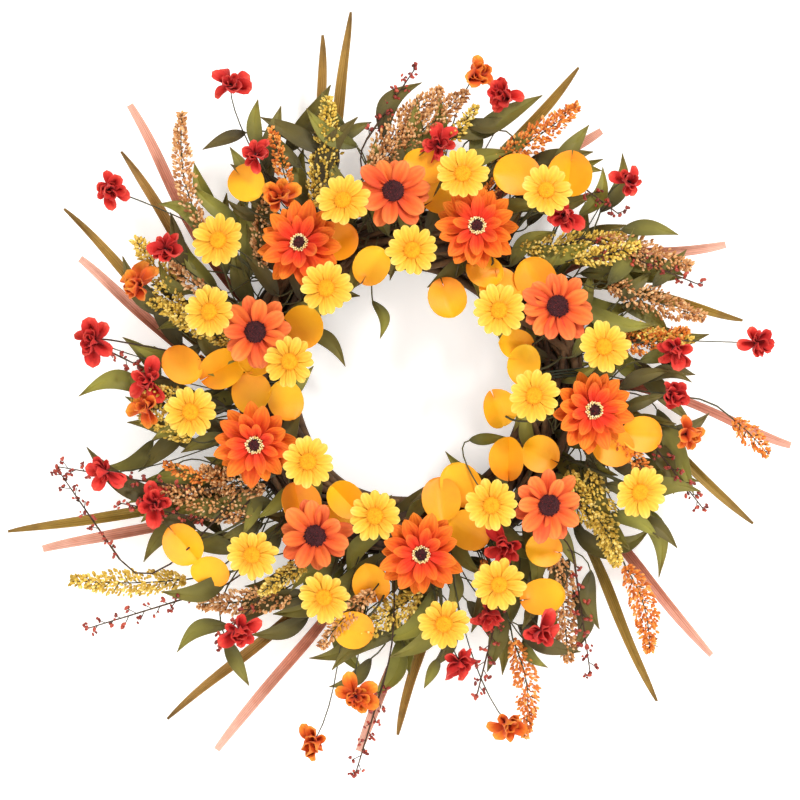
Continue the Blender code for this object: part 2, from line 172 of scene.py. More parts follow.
@dataclass(frozen=True)
class Finish:
    """A finish with its own material, made when it is first asked for."""

    name: str

    def material(self) -> bpy.types.Material:
        """The finish's material.

        Returns:
            The material.
        """
        if self.name not in Finishes.made:
            made = bpy.data.materials.new(self.name)
            made.use_nodes = True
            graph = Graph(made.node_tree)
            self.build(graph, made.node_tree.nodes["Principled BSDF"])
            Finishes.made[self.name] = made
        return Finishes.made[self.name]

    def build(self, graph: Graph, shader: bpy.types.Node) -> None:
        """Adds the finish's nodes to its Principled shader."""
        raise NotImplementedError


@dataclass(frozen=True)
class DyedCloth(Finish):
    """Dyed polyester flower cloth, heat pressed: a matt face with pressed ribs that run to the tip.

    The weave of the real cloth is about 0.3 mm, too fine to show, so it is drawn at 0.9 mm.
    """

    stops: tuple[tuple[float, str], ...] = ()  # root to tip
    other_stops: tuple[tuple[float, str], ...] = ()  # the same in the other dye lot
    ribs: float = 3.0  # across half a petal
    rib_depth: float = 0.5  # 1 for a rib as deep as the bump goes
    roughness: float = 0.72
    sheen: float = 0.08
    blotch_mm: float = 9.0
    blotching: float = 0.35  # how far a blotch moves the dye along the petal, of its length
    # painted shade: how far the furrows between the ribs are darkened towards the root colour
    furrow_shade: float = 0.14
    weave_mm: float = 0.9
    bump_mm: float = 0.35

    def build(self, graph: Graph, shader: bpy.types.Node) -> None:
        """Colours run from root to tip, two dye lots differ by piece, and painted shade darkens the furrows
        between the ribs.

        Args:
            graph: The finish's nodes.
            shader: Its Principled shader.
        """
        along, across, tone = (
            graph.out("ShaderNodeAttribute", {"attribute_name": own}, name="Fac")
            for own in ("along", "across", "tone")
        )
        place = graph.out("ShaderNodeTexCoord", name="Object")
        coarse = {"Vector": place, "Scale": 1 / (self.blotch_mm * MM), "Detail": 2.0}
        blotch = graph.out(MATH, SUBTRACT, (graph.out(NOISE, None, coarse, "Fac"), 0.5))
        wavy = graph.out(MATH, ADD, (along, graph.out(MATH, MULTIPLY, (blotch, self.blotching))))
        first, second = (
            graph.out("ShaderNodeValToRGB", {"stops": stops}, {"Fac": wavy}, "Color")
            for stops in (self.stops, self.other_stops or self.stops)
        )
        lots = {"data_type": "RGBA", "blend_type": "MIX"}
        dyed = graph.add("ShaderNodeMix", lots, {0: tone, 6: first, 7: second}).outputs[MIX_RESULT]
        wave = graph.out(MATH, COSINE, (graph.out(MATH, MULTIPLY, (across, self.ribs * FULL_TURN)),))
        dip = graph.out(MATH, SUBTRACT, (1.0, wave))
        # painted shade: the furrows between the ribs are darkened by multiplying with the root colour
        furrow = graph.out(MATH, MULTIPLY, (dip, self.furrow_shade * self.rib_depth))
        shade = {"data_type": "RGBA", "blend_type": "MULTIPLY"}
        dark = {0: furrow, 6: dyed, 7: linear(self.stops[0][1])}
        colour = graph.add("ShaderNodeMix", shade, dark).outputs[MIX_RESULT]
        threads = {"Vector": place, "Scale": 1 / (self.weave_mm * MM), "Detail": 3.0}
        weave = graph.out(NOISE, None, threads, "Fac")
        height = graph.out(MATH, ADD, (graph.out(MATH, MULTIPLY, (wave, self.rib_depth)), weave))
        relief = {"Strength": 0.35, "Distance": self.bump_mm * MM, "Height": height}
        bump = graph.out("ShaderNodeBump", None, relief)
        rough = graph.out(MATH, ADD, (graph.out(MATH, MULTIPLY, (weave, 0.16)), self.roughness - 0.08))
        for socket, value in (("Base Color", colour), ("Normal", bump), ("Roughness", rough)):
            graph.tree.links.new(value, shader.inputs[socket])
        shader.inputs["Sheen Weight"].default_value = self.sheen
        shader.inputs["Sheen Roughness"].default_value = 0.5
        shader.inputs["IOR"].default_value = 1.45


@dataclass(frozen=True)
class Grained(Finish):
    """A finish whose colour varies by grain: beads, flocked hearts, bark and paint."""

    stops: tuple[tuple[float, str], ...] = ()
    grain_mm: float = 3.0
    bump_mm: float = 0.3
    roughness: float = 0.6
    metallic: float = 0.0
    by_tone: float = 0.6  # how far a grain's colour is its own, and not from the noise
    fine: float = 0.3  # the fine noise's size, of the grain's

    def build(self, graph: Graph, shader: bpy.types.Node) -> None:
        """Each grain takes its own tone, and fine noise breaks it up.

        Args:
            graph: The finish's nodes.
            shader: Its Principled shader.
        """
        place = graph.out("ShaderNodeTexCoord", name="Object")
        noise, fine = (
            graph.out(NOISE, None, {"Vector": place, "Scale": 1 / (size * MM), "Detail": detail}, "Fac")
            for size, detail in ((self.grain_mm, 4.0), (self.grain_mm * self.fine, 3.0))
        )
        tone = graph.out("ShaderNodeAttribute", {"attribute_name": "tone"}, name="Fac")
        own = graph.out(MATH, MULTIPLY, (tone, self.by_tone))
        share = graph.out(MATH, ADD, (own, graph.out(MATH, MULTIPLY, (noise, 1 - self.by_tone))))
        colour = graph.out("ShaderNodeValToRGB", {"stops": self.stops}, {"Fac": share}, "Color")
        height = graph.out(MATH, ADD, (noise, graph.out(MATH, MULTIPLY, (fine, 0.5))))
        relief = {"Strength": 0.5, "Distance": self.bump_mm * MM, "Height": height}
        bump = graph.out("ShaderNodeBump", None, relief)
        rough = graph.out(MATH, ADD, (graph.out(MATH, MULTIPLY, (fine, 0.2)), self.roughness - 0.1))
        for socket, value in (("Base Color", colour), ("Normal", bump), ("Roughness", rough)):
            graph.tree.links.new(value, shader.inputs[socket])
        shader.inputs["Metallic"].default_value = self.metallic


# Pale yellow dyed cloth, pressed and left open: the dye pools at the root, so it is deeper there.
BUTTER_CLOTH = DyedCloth(
    "butter_petal_cloth",
    stops=((0.0, "E89C0C"), (0.3, "EDB424"), (0.6, "F0C640"), (1.0, "F3D66E")),
    other_stops=((0.0, "E2900A"), (0.3, "E8A81C"), (0.7, "EDBC34"), (1.0, "F0CC54")),
    ribs=1.0,
    rib_depth=1.0,
)
# Coral cloth dipped root first in a stronger red, which gives it a dark eye round the heart.
CORAL_CLOTH = DyedCloth(
    "coral_petal_cloth",
    stops=((0.0, "C8340E"), (0.25, "E85E18"), (0.6, "F07C2A"), (1.0, "F28E44")),
    other_stops=((0.0, "BC220C"), (0.3, "DC4018"), (0.7, "E85E28"), (1.0, "EE7E44")),
    ribs=1.5,
    rib_depth=0.8,
)
# Orange cloth with a red root, pressed along its length: its ribs catch the light, and painted shade darkens
# the furrows between them.
FLAME_CLOTH = DyedCloth(
    "flame_petal_cloth",
    stops=((0.0, "DC3206"), (0.3, "EE540C"), (0.6, "F67C10"), (1.0, "F89018")),
    other_stops=((0.0, "D42206"), (0.4, "E83A0C"), (0.75, "F06410"), (1.0, "F48018")),
    ribs=2.0,
    rib_depth=0.9,
)
# Scarlet cloth, crimped wet: deep red at the root and the rims worn and light; painted shade deepens the
# furrows of its folds to the root's red.
SCARLET_CLOTH = DyedCloth(
    "scarlet_petal_cloth",
    stops=((0.0, "9E1010"), (0.4, "D6261E"), (0.8, "EA4030"), (1.0, "F0684E")),
    other_stops=((0.0, "84090E"), (0.5, "C4181A"), (1.0, "E03426")),
    ribs=1.5,
)
# The same crimped cloth dyed amber over a rust root.
AMBER_CLOTH = DyedCloth(
    "amber_petal_cloth",
    stops=((0.0, "B8380E"), (0.4, "E86A16"), (0.8, "F59A22"), (1.0, "F8B23A")),
    other_stops=((0.0, "A82C10"), (0.5, "DE5414"), (1.0, "F0841E")),
    ribs=1.5,
)
# Golden leaf cloth with a thin wax size: smoother than the petals, with a soft low shine.
GOLD_LEAF_CLOTH = DyedCloth(
    "golden_leaf_cloth",
    stops=((0.0, "F59A00"), (0.35, "FEB000"), (0.8, "FFC400"), (1.0, "FFD034")),
    other_stops=((0.0, "EC7E00"), (0.4, "F99C00"), (1.0, "FFB400")),
    ribs=0.5,
    rib_depth=0.25,
    roughness=0.5,
    sheen=0.1,
)
# Olive leaf cloth, pressed on one veined plate: dull, with dusty brown ends; painted shade darkens its sides
# and leaves the vein light.
OLIVE_LEAF_CLOTH = DyedCloth(
    "olive_leaf_cloth",
    stops=((0.0, "4A4614"), (0.35, "7A7624"), (0.8, "989236"), (1.0, "786A26")),
    other_stops=((0.0, "30260C"), (0.5, "524418"), (1.0, "685824")),
    ribs=0.5,
    rib_depth=0.7,
    roughness=0.6,
    sheen=0.1,
)
# Stiff cloth tape dyed olive and straw: long fine ribs, and no nap to speak of.
OLIVE_GRASS_CLOTH = DyedCloth(
    "olive_grass_cloth",
    stops=((0.0, "4E4212"), (0.4, "84701E"), (0.75, "A8882E"), (1.0, "8C6A2A")),
    other_stops=((0.0, "5A3A14"), (0.4, "8E6426"), (0.8, "B0843C"), (1.0, "7A5A26")),
    ribs=2.5,
    rib_depth=1.0,
    roughness=0.55,
    sheen=0.05,
)
# The same tape, airbrushed from brown at its foot to a pale blush tip.
BLUSH_GRASS_CLOTH = DyedCloth(
    "blush_grass_cloth",
    stops=((0.0, "54381A"), (0.25, "9C5238"), (0.55, "DA8C70"), (1.0, "F2C4B0")),
    other_stops=((0.0, "5E3A1C"), (0.35, "B05C44"), (0.7, "D88E74"), (1.0, "E6A890")),
    ribs=2.5,
    rib_depth=1.0,
    roughness=0.55,
    sheen=0.05,
)
# Flocked foam pressed into a button: near black maroon with a velvety grain.
MAROON_FLOCK = Grained(
    "maroon_flock", ((0.2, "240408"), (0.6, "480A12"), (0.9, "701C1A")), grain_mm=1.2, roughness=0.9
)
# Napped cloth over a wad: a soft orange-yellow mound.
EGG_YOLK_PLUSH = Grained(
    "egg_yolk_plush", ((0.1, "E49204"), (0.5, "EDA408"), (0.9, "F0B21A")), grain_mm=1.4, roughness=0.9
)
# Flocked stamen tips: small, pale and matt, so that they stand out round a dark heart.
CREAM_STAMEN = Grained(
    "cream_stamen", ((0.1, "E8C86A"), (0.5, "F6E6A8"), (0.9, "FFF4CC")), grain_mm=1.5, roughness=0.7
)
# Foam seed grains dipped in paint: each grain takes the colour a little differently.
STRAW_SEED = Grained(
    "straw_seed_grain", ((0.1, "86701E"), (0.35, "D0A838"), (0.6, "EECC58"), (0.9, "FAE896")), 2.5
)
TAN_SEED = Grained(
    "tan_seed_grain", ((0.1, "7E4420"), (0.35, "C08044"), (0.6, "E2AA6C"), (0.9, "F6D4A4")), 2.5
)
RUST_SEED = Grained(
    "rust_seed_grain", ((0.1, "A03E0C"), (0.35, "DA741C"), (0.6, "F2983A"), (0.9, "FBC070")), 2.5
)
# Glazed foam berries.
BERRY_GLAZE = Grained(
    "berry_glaze",
    ((0.1, "5A1610"), (0.5, "962C1C"), (0.9, "C4523A")),
    grain_mm=2.0,
    bump_mm=0.1,
    roughness=0.4,
)
# Stem wire wound with paper tape.
TAPED_WIRE = Grained(
    "taped_wire", ((0.2, "2E2E16"), (0.6, "4A4622"), (0.9, "6A6230")), grain_mm=4, roughness=0.7
)
# Dried grapevine, wound green: dull ridged bark, near black in its furrows.
VINE_BARK = Grained(
    "vine_bark",
    ((0.15, "1E120A"), (0.45, "46301C"), (0.75, "6E5030"), (0.95, "8E7048")),
    grain_mm=5.0,
    bump_mm=0.8,
    roughness=0.85,
    by_tone=0.45,
)
# Florist wire, drawn steel with green paint: mostly matt, with a little of the metal showing.
PAINTED_STEEL = Grained(
    "painted_steel_wire",
    ((0.2, "2C3224"), (0.8, "4A5240")),
    grain_mm=2.0,
    bump_mm=0.05,
    roughness=0.42,
    metallic=0.6,
)


# ---------------------------------------------------------------- mesh shell


class Shell:
    """Collects closed tubes, slabs and turned forms into one mesh, with the attributes the cloth reads."""

    def __init__(self) -> None:
        """Starts empty."""
        self.points: list[np.ndarray] = []
        self.faces: list[tuple[int, ...]] = []
        self.slots: list[int] = []
        self.along: list[np.ndarray] = []
        self.across: list[np.ndarray] = []
        self.tone: list[np.ndarray] = []
        self.finishes: list[Finish] = []
        self.count = 0

    def take(
        self, points: Points, faces: Faces, along: Points, across: Points, tone: float, finish: Finish
    ) -> None:
        """Adds one closed form.

        Args:
            points: Its points, one row each.
            faces: Its faces as tuples of point numbers.
            along: Root to tip, 0 to 1, for each point.
            across: Side to side, -1 to 1, for each point.
            tone: Which dye lot it takes, 0 to 1.
            finish: Its finish.
        """
        if finish not in self.finishes:
            self.finishes.append(finish)
        slot = self.finishes.index(finish)
        points = np.asarray(points, float).reshape(-1, 3)
        self.points.append(points)
        self.faces += [tuple(i + self.count for i in face) for face in faces]
        self.slots += [slot] * len(faces)
        self.along.append(np.asarray(along, float).reshape(-1))
        self.across.append(np.asarray(across, float).reshape(-1))
        self.tone.append(np.full(len(points), tone))
        self.count += len(points)

    def tube(
        self, path: Points, radii: float | np.ndarray, tone: float, finish: Finish, sides: int = 6
    ) -> None:
        """Adds a round tube along a path.

        Args:
            path: Points, as Vectors.
            radii: One radius, or one for each point.
            tone: Dye lot.
            finish: Its finish.
            sides: How many sides it has.
        """
        centre = np.array([tuple(p) for p in path])
        count = len(centre)
        radii = np.broadcast_to(np.asarray(radii, float), (count,))
        ahead = np.gradient(centre, axis=0)
        ahead /= np.linalg.norm(ahead, axis=1)[:, None]
        guide = np.array([0.31, 0.87, 0.38])
        side = np.cross(ahead, guide)
        side /= np.linalg.norm(side, axis=1)[:, None]
        up = np.cross(side, ahead)
        turn = FULL_TURN * np.arange(sides) / sides
        ring = side[:, None] * np.cos(turn)[None, :, None] + up[:, None] * np.sin(turn)[None, :, None]
        points = centre[:, None] + ring * radii[:, None, None]
        faces = []
        for i in range(count - 1):
            for k in range(sides):
                j = (k + 1) % sides
                faces.append((i * sides + k, (i + 1) * sides + k, (i + 1) * sides + j, i * sides + j))
        faces.append(tuple(range(sides)))
        faces.append(tuple((count - 1) * sides + k for k in reversed(range(sides))))
        along = np.repeat(np.linspace(0, 1, count), sides)
        across = np.tile(np.cos(turn), count)
        self.take(points, faces, along, across, tone, finish)

    def slab(self, grid: list[Points], thickness: float, tone: float, finish: Finish) -> None:
        """Adds a thin closed sheet over a grid of points.

        Args:
            grid: Points as (along, across, 3), root to tip.
            thickness: Of the sheet.
            tone: Dye lot.
            finish: Its finish.
        """
        grid = np.asarray(grid, float)
        rows, columns = grid.shape[:2]
        du = np.gradient(grid, axis=0)
        dv = np.gradient(grid, axis=1)
        normal = np.cross(du, dv)
        normal /= np.maximum(np.linalg.norm(normal, axis=2), 1e-12)[:, :, None]
        shell = np.concatenate([grid + normal * thickness / 2, grid - normal * thickness / 2])
        front, back = np.arange(2 * rows * columns).reshape(2, rows, columns).tolist()
        faces = []
        for i in range(rows - 1):
            for j in range(columns - 1):
                faces.append((front[i][j], front[i + 1][j], front[i + 1][j + 1], front[i][j + 1]))
                faces.append((back[i][j], back[i][j + 1], back[i + 1][j + 1], back[i + 1][j]))
        edge = [(i, 0) for i in range(rows)] + [(rows - 1, j) for j in range(1, columns)]
        edge += [(i, columns - 1) for i in range(rows - 2, -1, -1)]
        edge += [(0, j) for j in range(columns - 2, 0, -1)]
        for (i, j), (k, m) in zip(edge, edge[1:] + edge[:1]):
            faces.append((front[i][j], back[i][j], back[k][m], front[k][m]))
        along = np.tile(np.repeat(np.linspace(0, 1, rows), columns), 2)
        across = np.tile(np.tile(np.linspace(-1, 1, columns), rows), 2)
        self.take(shell, faces, along, across, tone, finish)

    def turned(
        self, profile: Points, frame: Matrix, tone: float, finish: Finish, steps: int = 16
    ) -> None:
        """Adds a form turned about a frame's Z, closed at both ends.

        Args:
            profile: Radius and height pairs, from the back to the front.
            frame: Where it goes.
            tone: Dye lot.
            finish: Its finish.
            steps: How many steps go round.
        """
        points, along = [], []
        for number, (radius, height) in enumerate(profile):
            for k in range(steps):
                turn = FULL_TURN * k / steps
                points.append(frame @ Vector((radius * math.cos(turn), radius * math.sin(turn), height)))
                along.append(number / (len(profile) - 1))
        faces = []
        for i in range(len(profile) - 1):
            for k in range(steps):
                j = (k + 1) % steps
                faces.append((i * steps + k, i * steps + j, (i + 1) * steps + j, (i + 1) * steps + k))
        faces.append(tuple(reversed(range(steps))))
        faces.append(tuple((len(profile) - 1) * steps + k for k in range(steps)))
        self.take([tuple(p) for p in points], faces, along, np.zeros(len(points)), tone, finish)

    def mesh(self, name: str) -> bpy.types.Mesh:
        """The collected forms as one mesh with its materials and attributes.

        Args:
            name: The piece's name.

        Returns:
            The mesh.
        """
        mesh = bpy.data.meshes.new(name)
        points = np.concatenate(self.points) if self.points else np.zeros((0, 3))
        mesh.from_pydata([tuple(p) for p in points], [], self.faces)
        for finish in self.finishes:
            mesh.materials.append(finish.material())
        mesh.polygons.foreach_set("material_index", self.slots)
        for key, lists in (("along", self.along), ("across", self.across), ("tone", self.tone)):
            values = mesh.attributes.new(key, "FLOAT", "POINT")
            values.data.foreach_set("value", np.concatenate(lists).astype(np.float32))
        mesh.shade_smooth()
        mesh.set_sharp_from_angle(angle=math.radians(50))
        return mesh


def scratch(name: str, mesh: bpy.types.Mesh, toned: bool = False) -> bpy.types.Object:
    """A hidden object of a mesh, for a geometry tree to copy.

    Args:
        name: Its name.
        mesh: Its mesh.
        toned: Whether its own tones stay; otherwise each copy takes one of its own.

    Returns:
        The object.
    """
    if not toned:
        mesh.attributes.remove(mesh.attributes["tone"])
    made = bpy.data.objects.new(name, mesh)
    bpy.context.scene.collection.objects.link(made)
    made.hide_render = True
    return made


# ---------------------------------------------------------------- geometry trees


class Socket(Enum):
    """The kinds of named input that the trees take."""

    OBJECT = "NodeSocketObject"
    NUMBER = "NodeSocketFloat"
    COUNT = "NodeSocketInt"
    MATERIAL = "NodeSocketMaterial"


class Tree:
    """A geometry tree with named inputs, which adds what it makes to the mesh that comes in."""

    inputs: dict[str, Socket] = {}
    name = "tree"
    keeps_base = True  # whether the mesh that comes in stays in what is made

    def __init__(self) -> None:
        """Builds the tree once."""
        tree = bpy.data.node_groups.new(self.name, "GeometryNodeTree")
        tree.interface.new_socket("Geometry", in_out="OUTPUT", socket_type="NodeSocketGeometry")
        tree.interface.new_socket("Geometry", in_out="INPUT", socket_type="NodeSocketGeometry")
        self.keys = {
            name: tree.interface.new_socket(name, in_out="INPUT", socket_type=kind.value).identifier
            for name, kind in self.inputs.items()
        }
        self.tree = tree
        graph = Graph(tree)
        given = graph.add("NodeGroupInput").outputs
        made = self.build(graph, given)
        real = graph.out("GeometryNodeRealizeInstances", None, {"Geometry": made})
        dress = {"Geometry": real, "Material": given["Material"]}
        dressed = graph.out("GeometryNodeSetMaterial", None, dress)
        both = graph.add("GeometryNodeJoinGeometry")
        if self.keeps_base:
            graph.tree.links.new(given["Geometry"], both.inputs[0])
        if "Stem" in self.inputs:
            stem = graph.out("GeometryNodeObjectInfo", None, {"Object": given["Stem"]}, "Geometry")
            graph.tree.links.new(stem, both.inputs[0])
        graph.tree.links.new(dressed, both.inputs[0])
        graph.add("NodeGroupOutput", None, {"Geometry": both.outputs[0]})

    def build(self, graph: Graph, given: Inputs) -> bpy.types.NodeSocket:
        """Adds the tree's own nodes and gives the geometry that they make."""
        raise NotImplementedError

    def put_on(self, obj: bpy.types.Object, **values: Value) -> None:
        """Adds the tree to an object as a modifier, with its inputs set by identifier.

        Args:
            obj: What it goes on.
            **values: Its inputs by name.
        """
        modifier = obj.modifiers.new(self.name, "NODES")
        modifier.node_group = self.tree
        for name, value in values.items():
            modifier[self.keys[name]] = value


class WhorlTree(Tree):
    """A ring of petals round Z: each is tilted up from the ring, and no two sit quite alike."""

    name = "petal_whorl"
    inputs = {
        "Petal": Socket.OBJECT,
        "Petals": Socket.COUNT,
        "Hub": Socket.NUMBER,
        "Lift": Socket.NUMBER,
        "Tilt": Socket.NUMBER,
        "Unevenness": Socket.NUMBER,
        "Size": Socket.NUMBER,
        "Phase": Socket.NUMBER,
        "Tone": Socket.NUMBER,
        "Seed": Socket.COUNT,
        "Material": Socket.MATERIAL,
    }

    def build(self, graph: Graph, given: Inputs) -> bpy.types.NodeSocket:
        """Instances the petal round a circle.

        Args:
            graph: The tree's nodes.
            given: Its inputs.

        Returns:
            The petals.
        """
        seed, uneven = given["Seed"], given["Unevenness"]
        less = graph.out(MATH, MULTIPLY, (uneven, -1.0))
        strayed, tipped, rolled, grew = (
            graph.out(CHANCE, FLOAT, {2: less, 3: uneven, "Seed": graph.out(MATH, ADD, (seed, shift))})
            for shift in (1.0, 2.0, 3.0, 4.0)
        )
        lot_seed = graph.out(MATH, ADD, (seed, 5.0))
        lot = graph.out(CHANCE, FLOAT, {2: -0.35, 3: 0.35, "Seed": lot_seed})
        circle = graph.out("GeometryNodeMeshCircle", None, {"Vertices": given["Petals"], "Radius": 1.0})
        step = graph.out(MATH, DIVIDE, (graph.out("GeometryNodeInputIndex"), given["Petals"]))
        even = graph.out(MATH, ADD, (graph.out(MATH, MULTIPLY, (step, FULL_TURN)), given["Phase"]))
        turn = graph.out(MATH, ADD, (even, graph.out(MATH, MULTIPLY, (strayed, 0.5))))
        tilt = graph.out(MATH, ADD, (given["Tilt"], tipped))
        grown_by = graph.out(MATH, ADD, (1.0, graph.out(MATH, MULTIPLY, (grew, 0.5))))
        x, y = (
            graph.out(MATH, MULTIPLY, (graph.out(MATH, way, (turn,)), given["Hub"])) for way in (COSINE, SINE)
        )
        place = graph.out("ShaderNodeCombineXYZ", None, {"X": x, "Y": y, "Z": given["Lift"]})
        roll = graph.out(MATH, MULTIPLY, (rolled, 0.7))
        down = graph.out(MATH, MULTIPLY, (tilt, -1.0))
        copied = {
            "Points": graph.out("GeometryNodeSetPosition", None, {"Geometry": circle, "Position": place}),
            "Instance": graph.out("GeometryNodeObjectInfo", None, {"Object": given["Petal"]}, "Geometry"),
            "Rotation": graph.out("ShaderNodeCombineXYZ", None, {"X": roll, "Y": down, "Z": turn}),
            "Scale": graph.out(MATH, MULTIPLY, (grown_by, given["Size"])),
        }
        copies = graph.out("GeometryNodeInstanceOnPoints", None, copied)
        toned = {"Geometry": copies, "Name": "tone", "Value": graph.out(MATH, ADD, (given["Tone"], lot))}
        return graph.out("GeometryNodeStoreNamedAttribute", TONE, toned)


class PlumeTree(Tree):
    """Grains set round a stem: the mesh that comes in is the stem's line, and grains crowd its envelope."""

    name = "seed_plume"
    keeps_base = False
    inputs = {
        "Stem": Socket.OBJECT,
        "Grain": Socket.OBJECT,
        "Grains": Socket.COUNT,
        "Reach": Socket.NUMBER,
        "Core": Socket.NUMBER,
        "Tip": Socket.NUMBER,
        "Size": Socket.NUMBER,
        "Seed": Socket.COUNT,
        "Material": Socket.MATERIAL,
    }

    def build(self, graph: Graph, given: Inputs) -> bpy.types.NodeSocket:
        """Places grains round the line, wide in the middle and narrow at the tip.

        Args:
            graph: The tree's nodes.
            given: Its inputs.

        Returns:
            The grains.
        """
        ranges = ((0.0, 1.0), (0.0, FULL_TURN), (0.3, 1.2), (0.7, 1.2), (0.0, 1.0))
        depth, turn, lift, size, tone = (
            graph.out(CHANCE, FLOAT, {2: low, 3: high, "Seed": graph.out(MATH, ADD, (given["Seed"], shift))})
            for shift, (low, high) in enumerate(ranges, 1)
        )
        line = graph.out("GeometryNodeMeshToCurve", None, {"Mesh": given["Geometry"]})
        counted = {"Curve": line, "Count": given["Grains"]}
        spots = graph.add("GeometryNodeCurveToPoints", {"mode": "COUNT"}, counted).outputs
        share = graph.out(MATH, DIVIDE, (graph.out("GeometryNodeInputIndex"), given["Grains"]))
        half_turn = graph.out(MATH, MULTIPLY, (graph.out(MATH, POWER, (share, 0.8)), math.pi))
        swell = graph.out(MATH, ADD, (graph.out(MATH, SINE, (half_turn,)), given["Tip"]))
        width = graph.out(MATH, SUBTRACT, (given["Reach"], given["Core"]))
        deep = graph.out(MATH, MULTIPLY, (graph.out(MATH, POWER, (depth, 0.6)), width))
        reach = graph.out(MATH, MULTIPLY, (graph.out(MATH, ADD, (given["Core"], deep)), swell))
        about = {"Vector": spots["Normal"], "Axis": spots["Tangent"], "Angle": turn}
        away = graph.out("ShaderNodeVectorRotate", {"rotation_type": "AXIS_ANGLE"}, about)
        offset, lean = (
            graph.out("ShaderNodeVectorMath", {"operation": "SCALE"}, {"Vector": way, "Scale": by})
            for way, by in ((away, reach), (spots["Tangent"], lift))
        )
        ahead = graph.out("ShaderNodeVectorMath", ADD, (away, lean))
        shifted = {"Geometry": spots["Points"], "Offset": offset}
        copied = {
            "Points": graph.out("GeometryNodeSetPosition", None, shifted),
            "Instance": graph.out("GeometryNodeObjectInfo", None, {"Object": given["Grain"]}, "Geometry"),
            "Rotation": graph.out("FunctionNodeAlignRotationToVector", {"axis": "Z"}, {"Vector": ahead}),
            "Scale": graph.out(MATH, MULTIPLY, (size, given["Size"])),
        }
        copies = graph.out("GeometryNodeInstanceOnPoints", None, copied)
        toned = {"Geometry": copies, "Name": "tone", "Value": tone}
        return graph.out("GeometryNodeStoreNamedAttribute", TONE, toned)


class HeartTree(Tree):
    """Florets on a dome, each turned on by the golden angle from the last."""

    name = "flower_heart"
    inputs = {
        "Floret": Socket.OBJECT,
        "Florets": Socket.COUNT,
        "First": Socket.COUNT,
        "Radius": Socket.NUMBER,
        "Lift": Socket.NUMBER,
        "Dome": Socket.NUMBER,
        "Size": Socket.NUMBER,
        "Seed": Socket.COUNT,
        "Material": Socket.MATERIAL,
    }

    def build(self, graph: Graph, given: Inputs) -> bpy.types.NodeSocket:
        """Instances the floret over the dome, from the first number to the last.

        Args:
            graph: The tree's nodes.
            given: Its inputs.

        Returns:
            The florets.
        """
        size, tone = (
            graph.out(CHANCE, FLOAT, {2: low, 3: high, "Seed": graph.out(MATH, ADD, (given["Seed"], shift))})
            for shift, (low, high) in enumerate(((0.75, 1.25), (0.0, 1.0)), 1)
        )
        count = graph.out(MATH, SUBTRACT, (given["Florets"], given["First"]))
        line = graph.out("GeometryNodeMeshLine", None, {"Count": count})
        number = graph.out(MATH, ADD, (graph.out("GeometryNodeInputIndex"), given["First"]))
        passed = graph.out(MATH, DIVIDE, (graph.out(MATH, ADD, (number, 0.5)), given["Florets"]))
        share = graph.out(MATH, SQRT, (passed,))
        turn = graph.out(MATH, MULTIPLY, (number, math.pi * (3 - math.sqrt(5))))
        reach = graph.out(MATH, MULTIPLY, (share, given["Radius"]))
        fall = graph.out(MATH, MULTIPLY, (graph.out(MATH, MULTIPLY, (share, share)), given["Dome"]))
        x, y = (
            graph.out(MATH, MULTIPLY, (graph.out(MATH, way, (turn,)), reach)) for way in (COSINE, SINE)
        )
        height = graph.out(MATH, SUBTRACT, (given["Lift"], fall))
        place = graph.out("ShaderNodeCombineXYZ", None, {"X": x, "Y": y, "Z": height})
        lean = graph.out(MATH, MULTIPLY, (share, 0.7))
        copied = {
            "Points": graph.out("GeometryNodeSetPosition", None, {"Geometry": line, "Position": place}),
            "Instance": graph.out("GeometryNodeObjectInfo", None, {"Object": given["Floret"]}, "Geometry"),
            "Rotation": graph.out("ShaderNodeCombineXYZ", None, {"Y": lean, "Z": turn}),
            "Scale": graph.out(MATH, MULTIPLY, (size, given["Size"])),
        }
        copies = graph.out("GeometryNodeInstanceOnPoints", None, copied)
        toned = {"Geometry": copies, "Name": "tone", "Value": tone}
        return graph.out("GeometryNodeStoreNamedAttribute", TONE, toned)


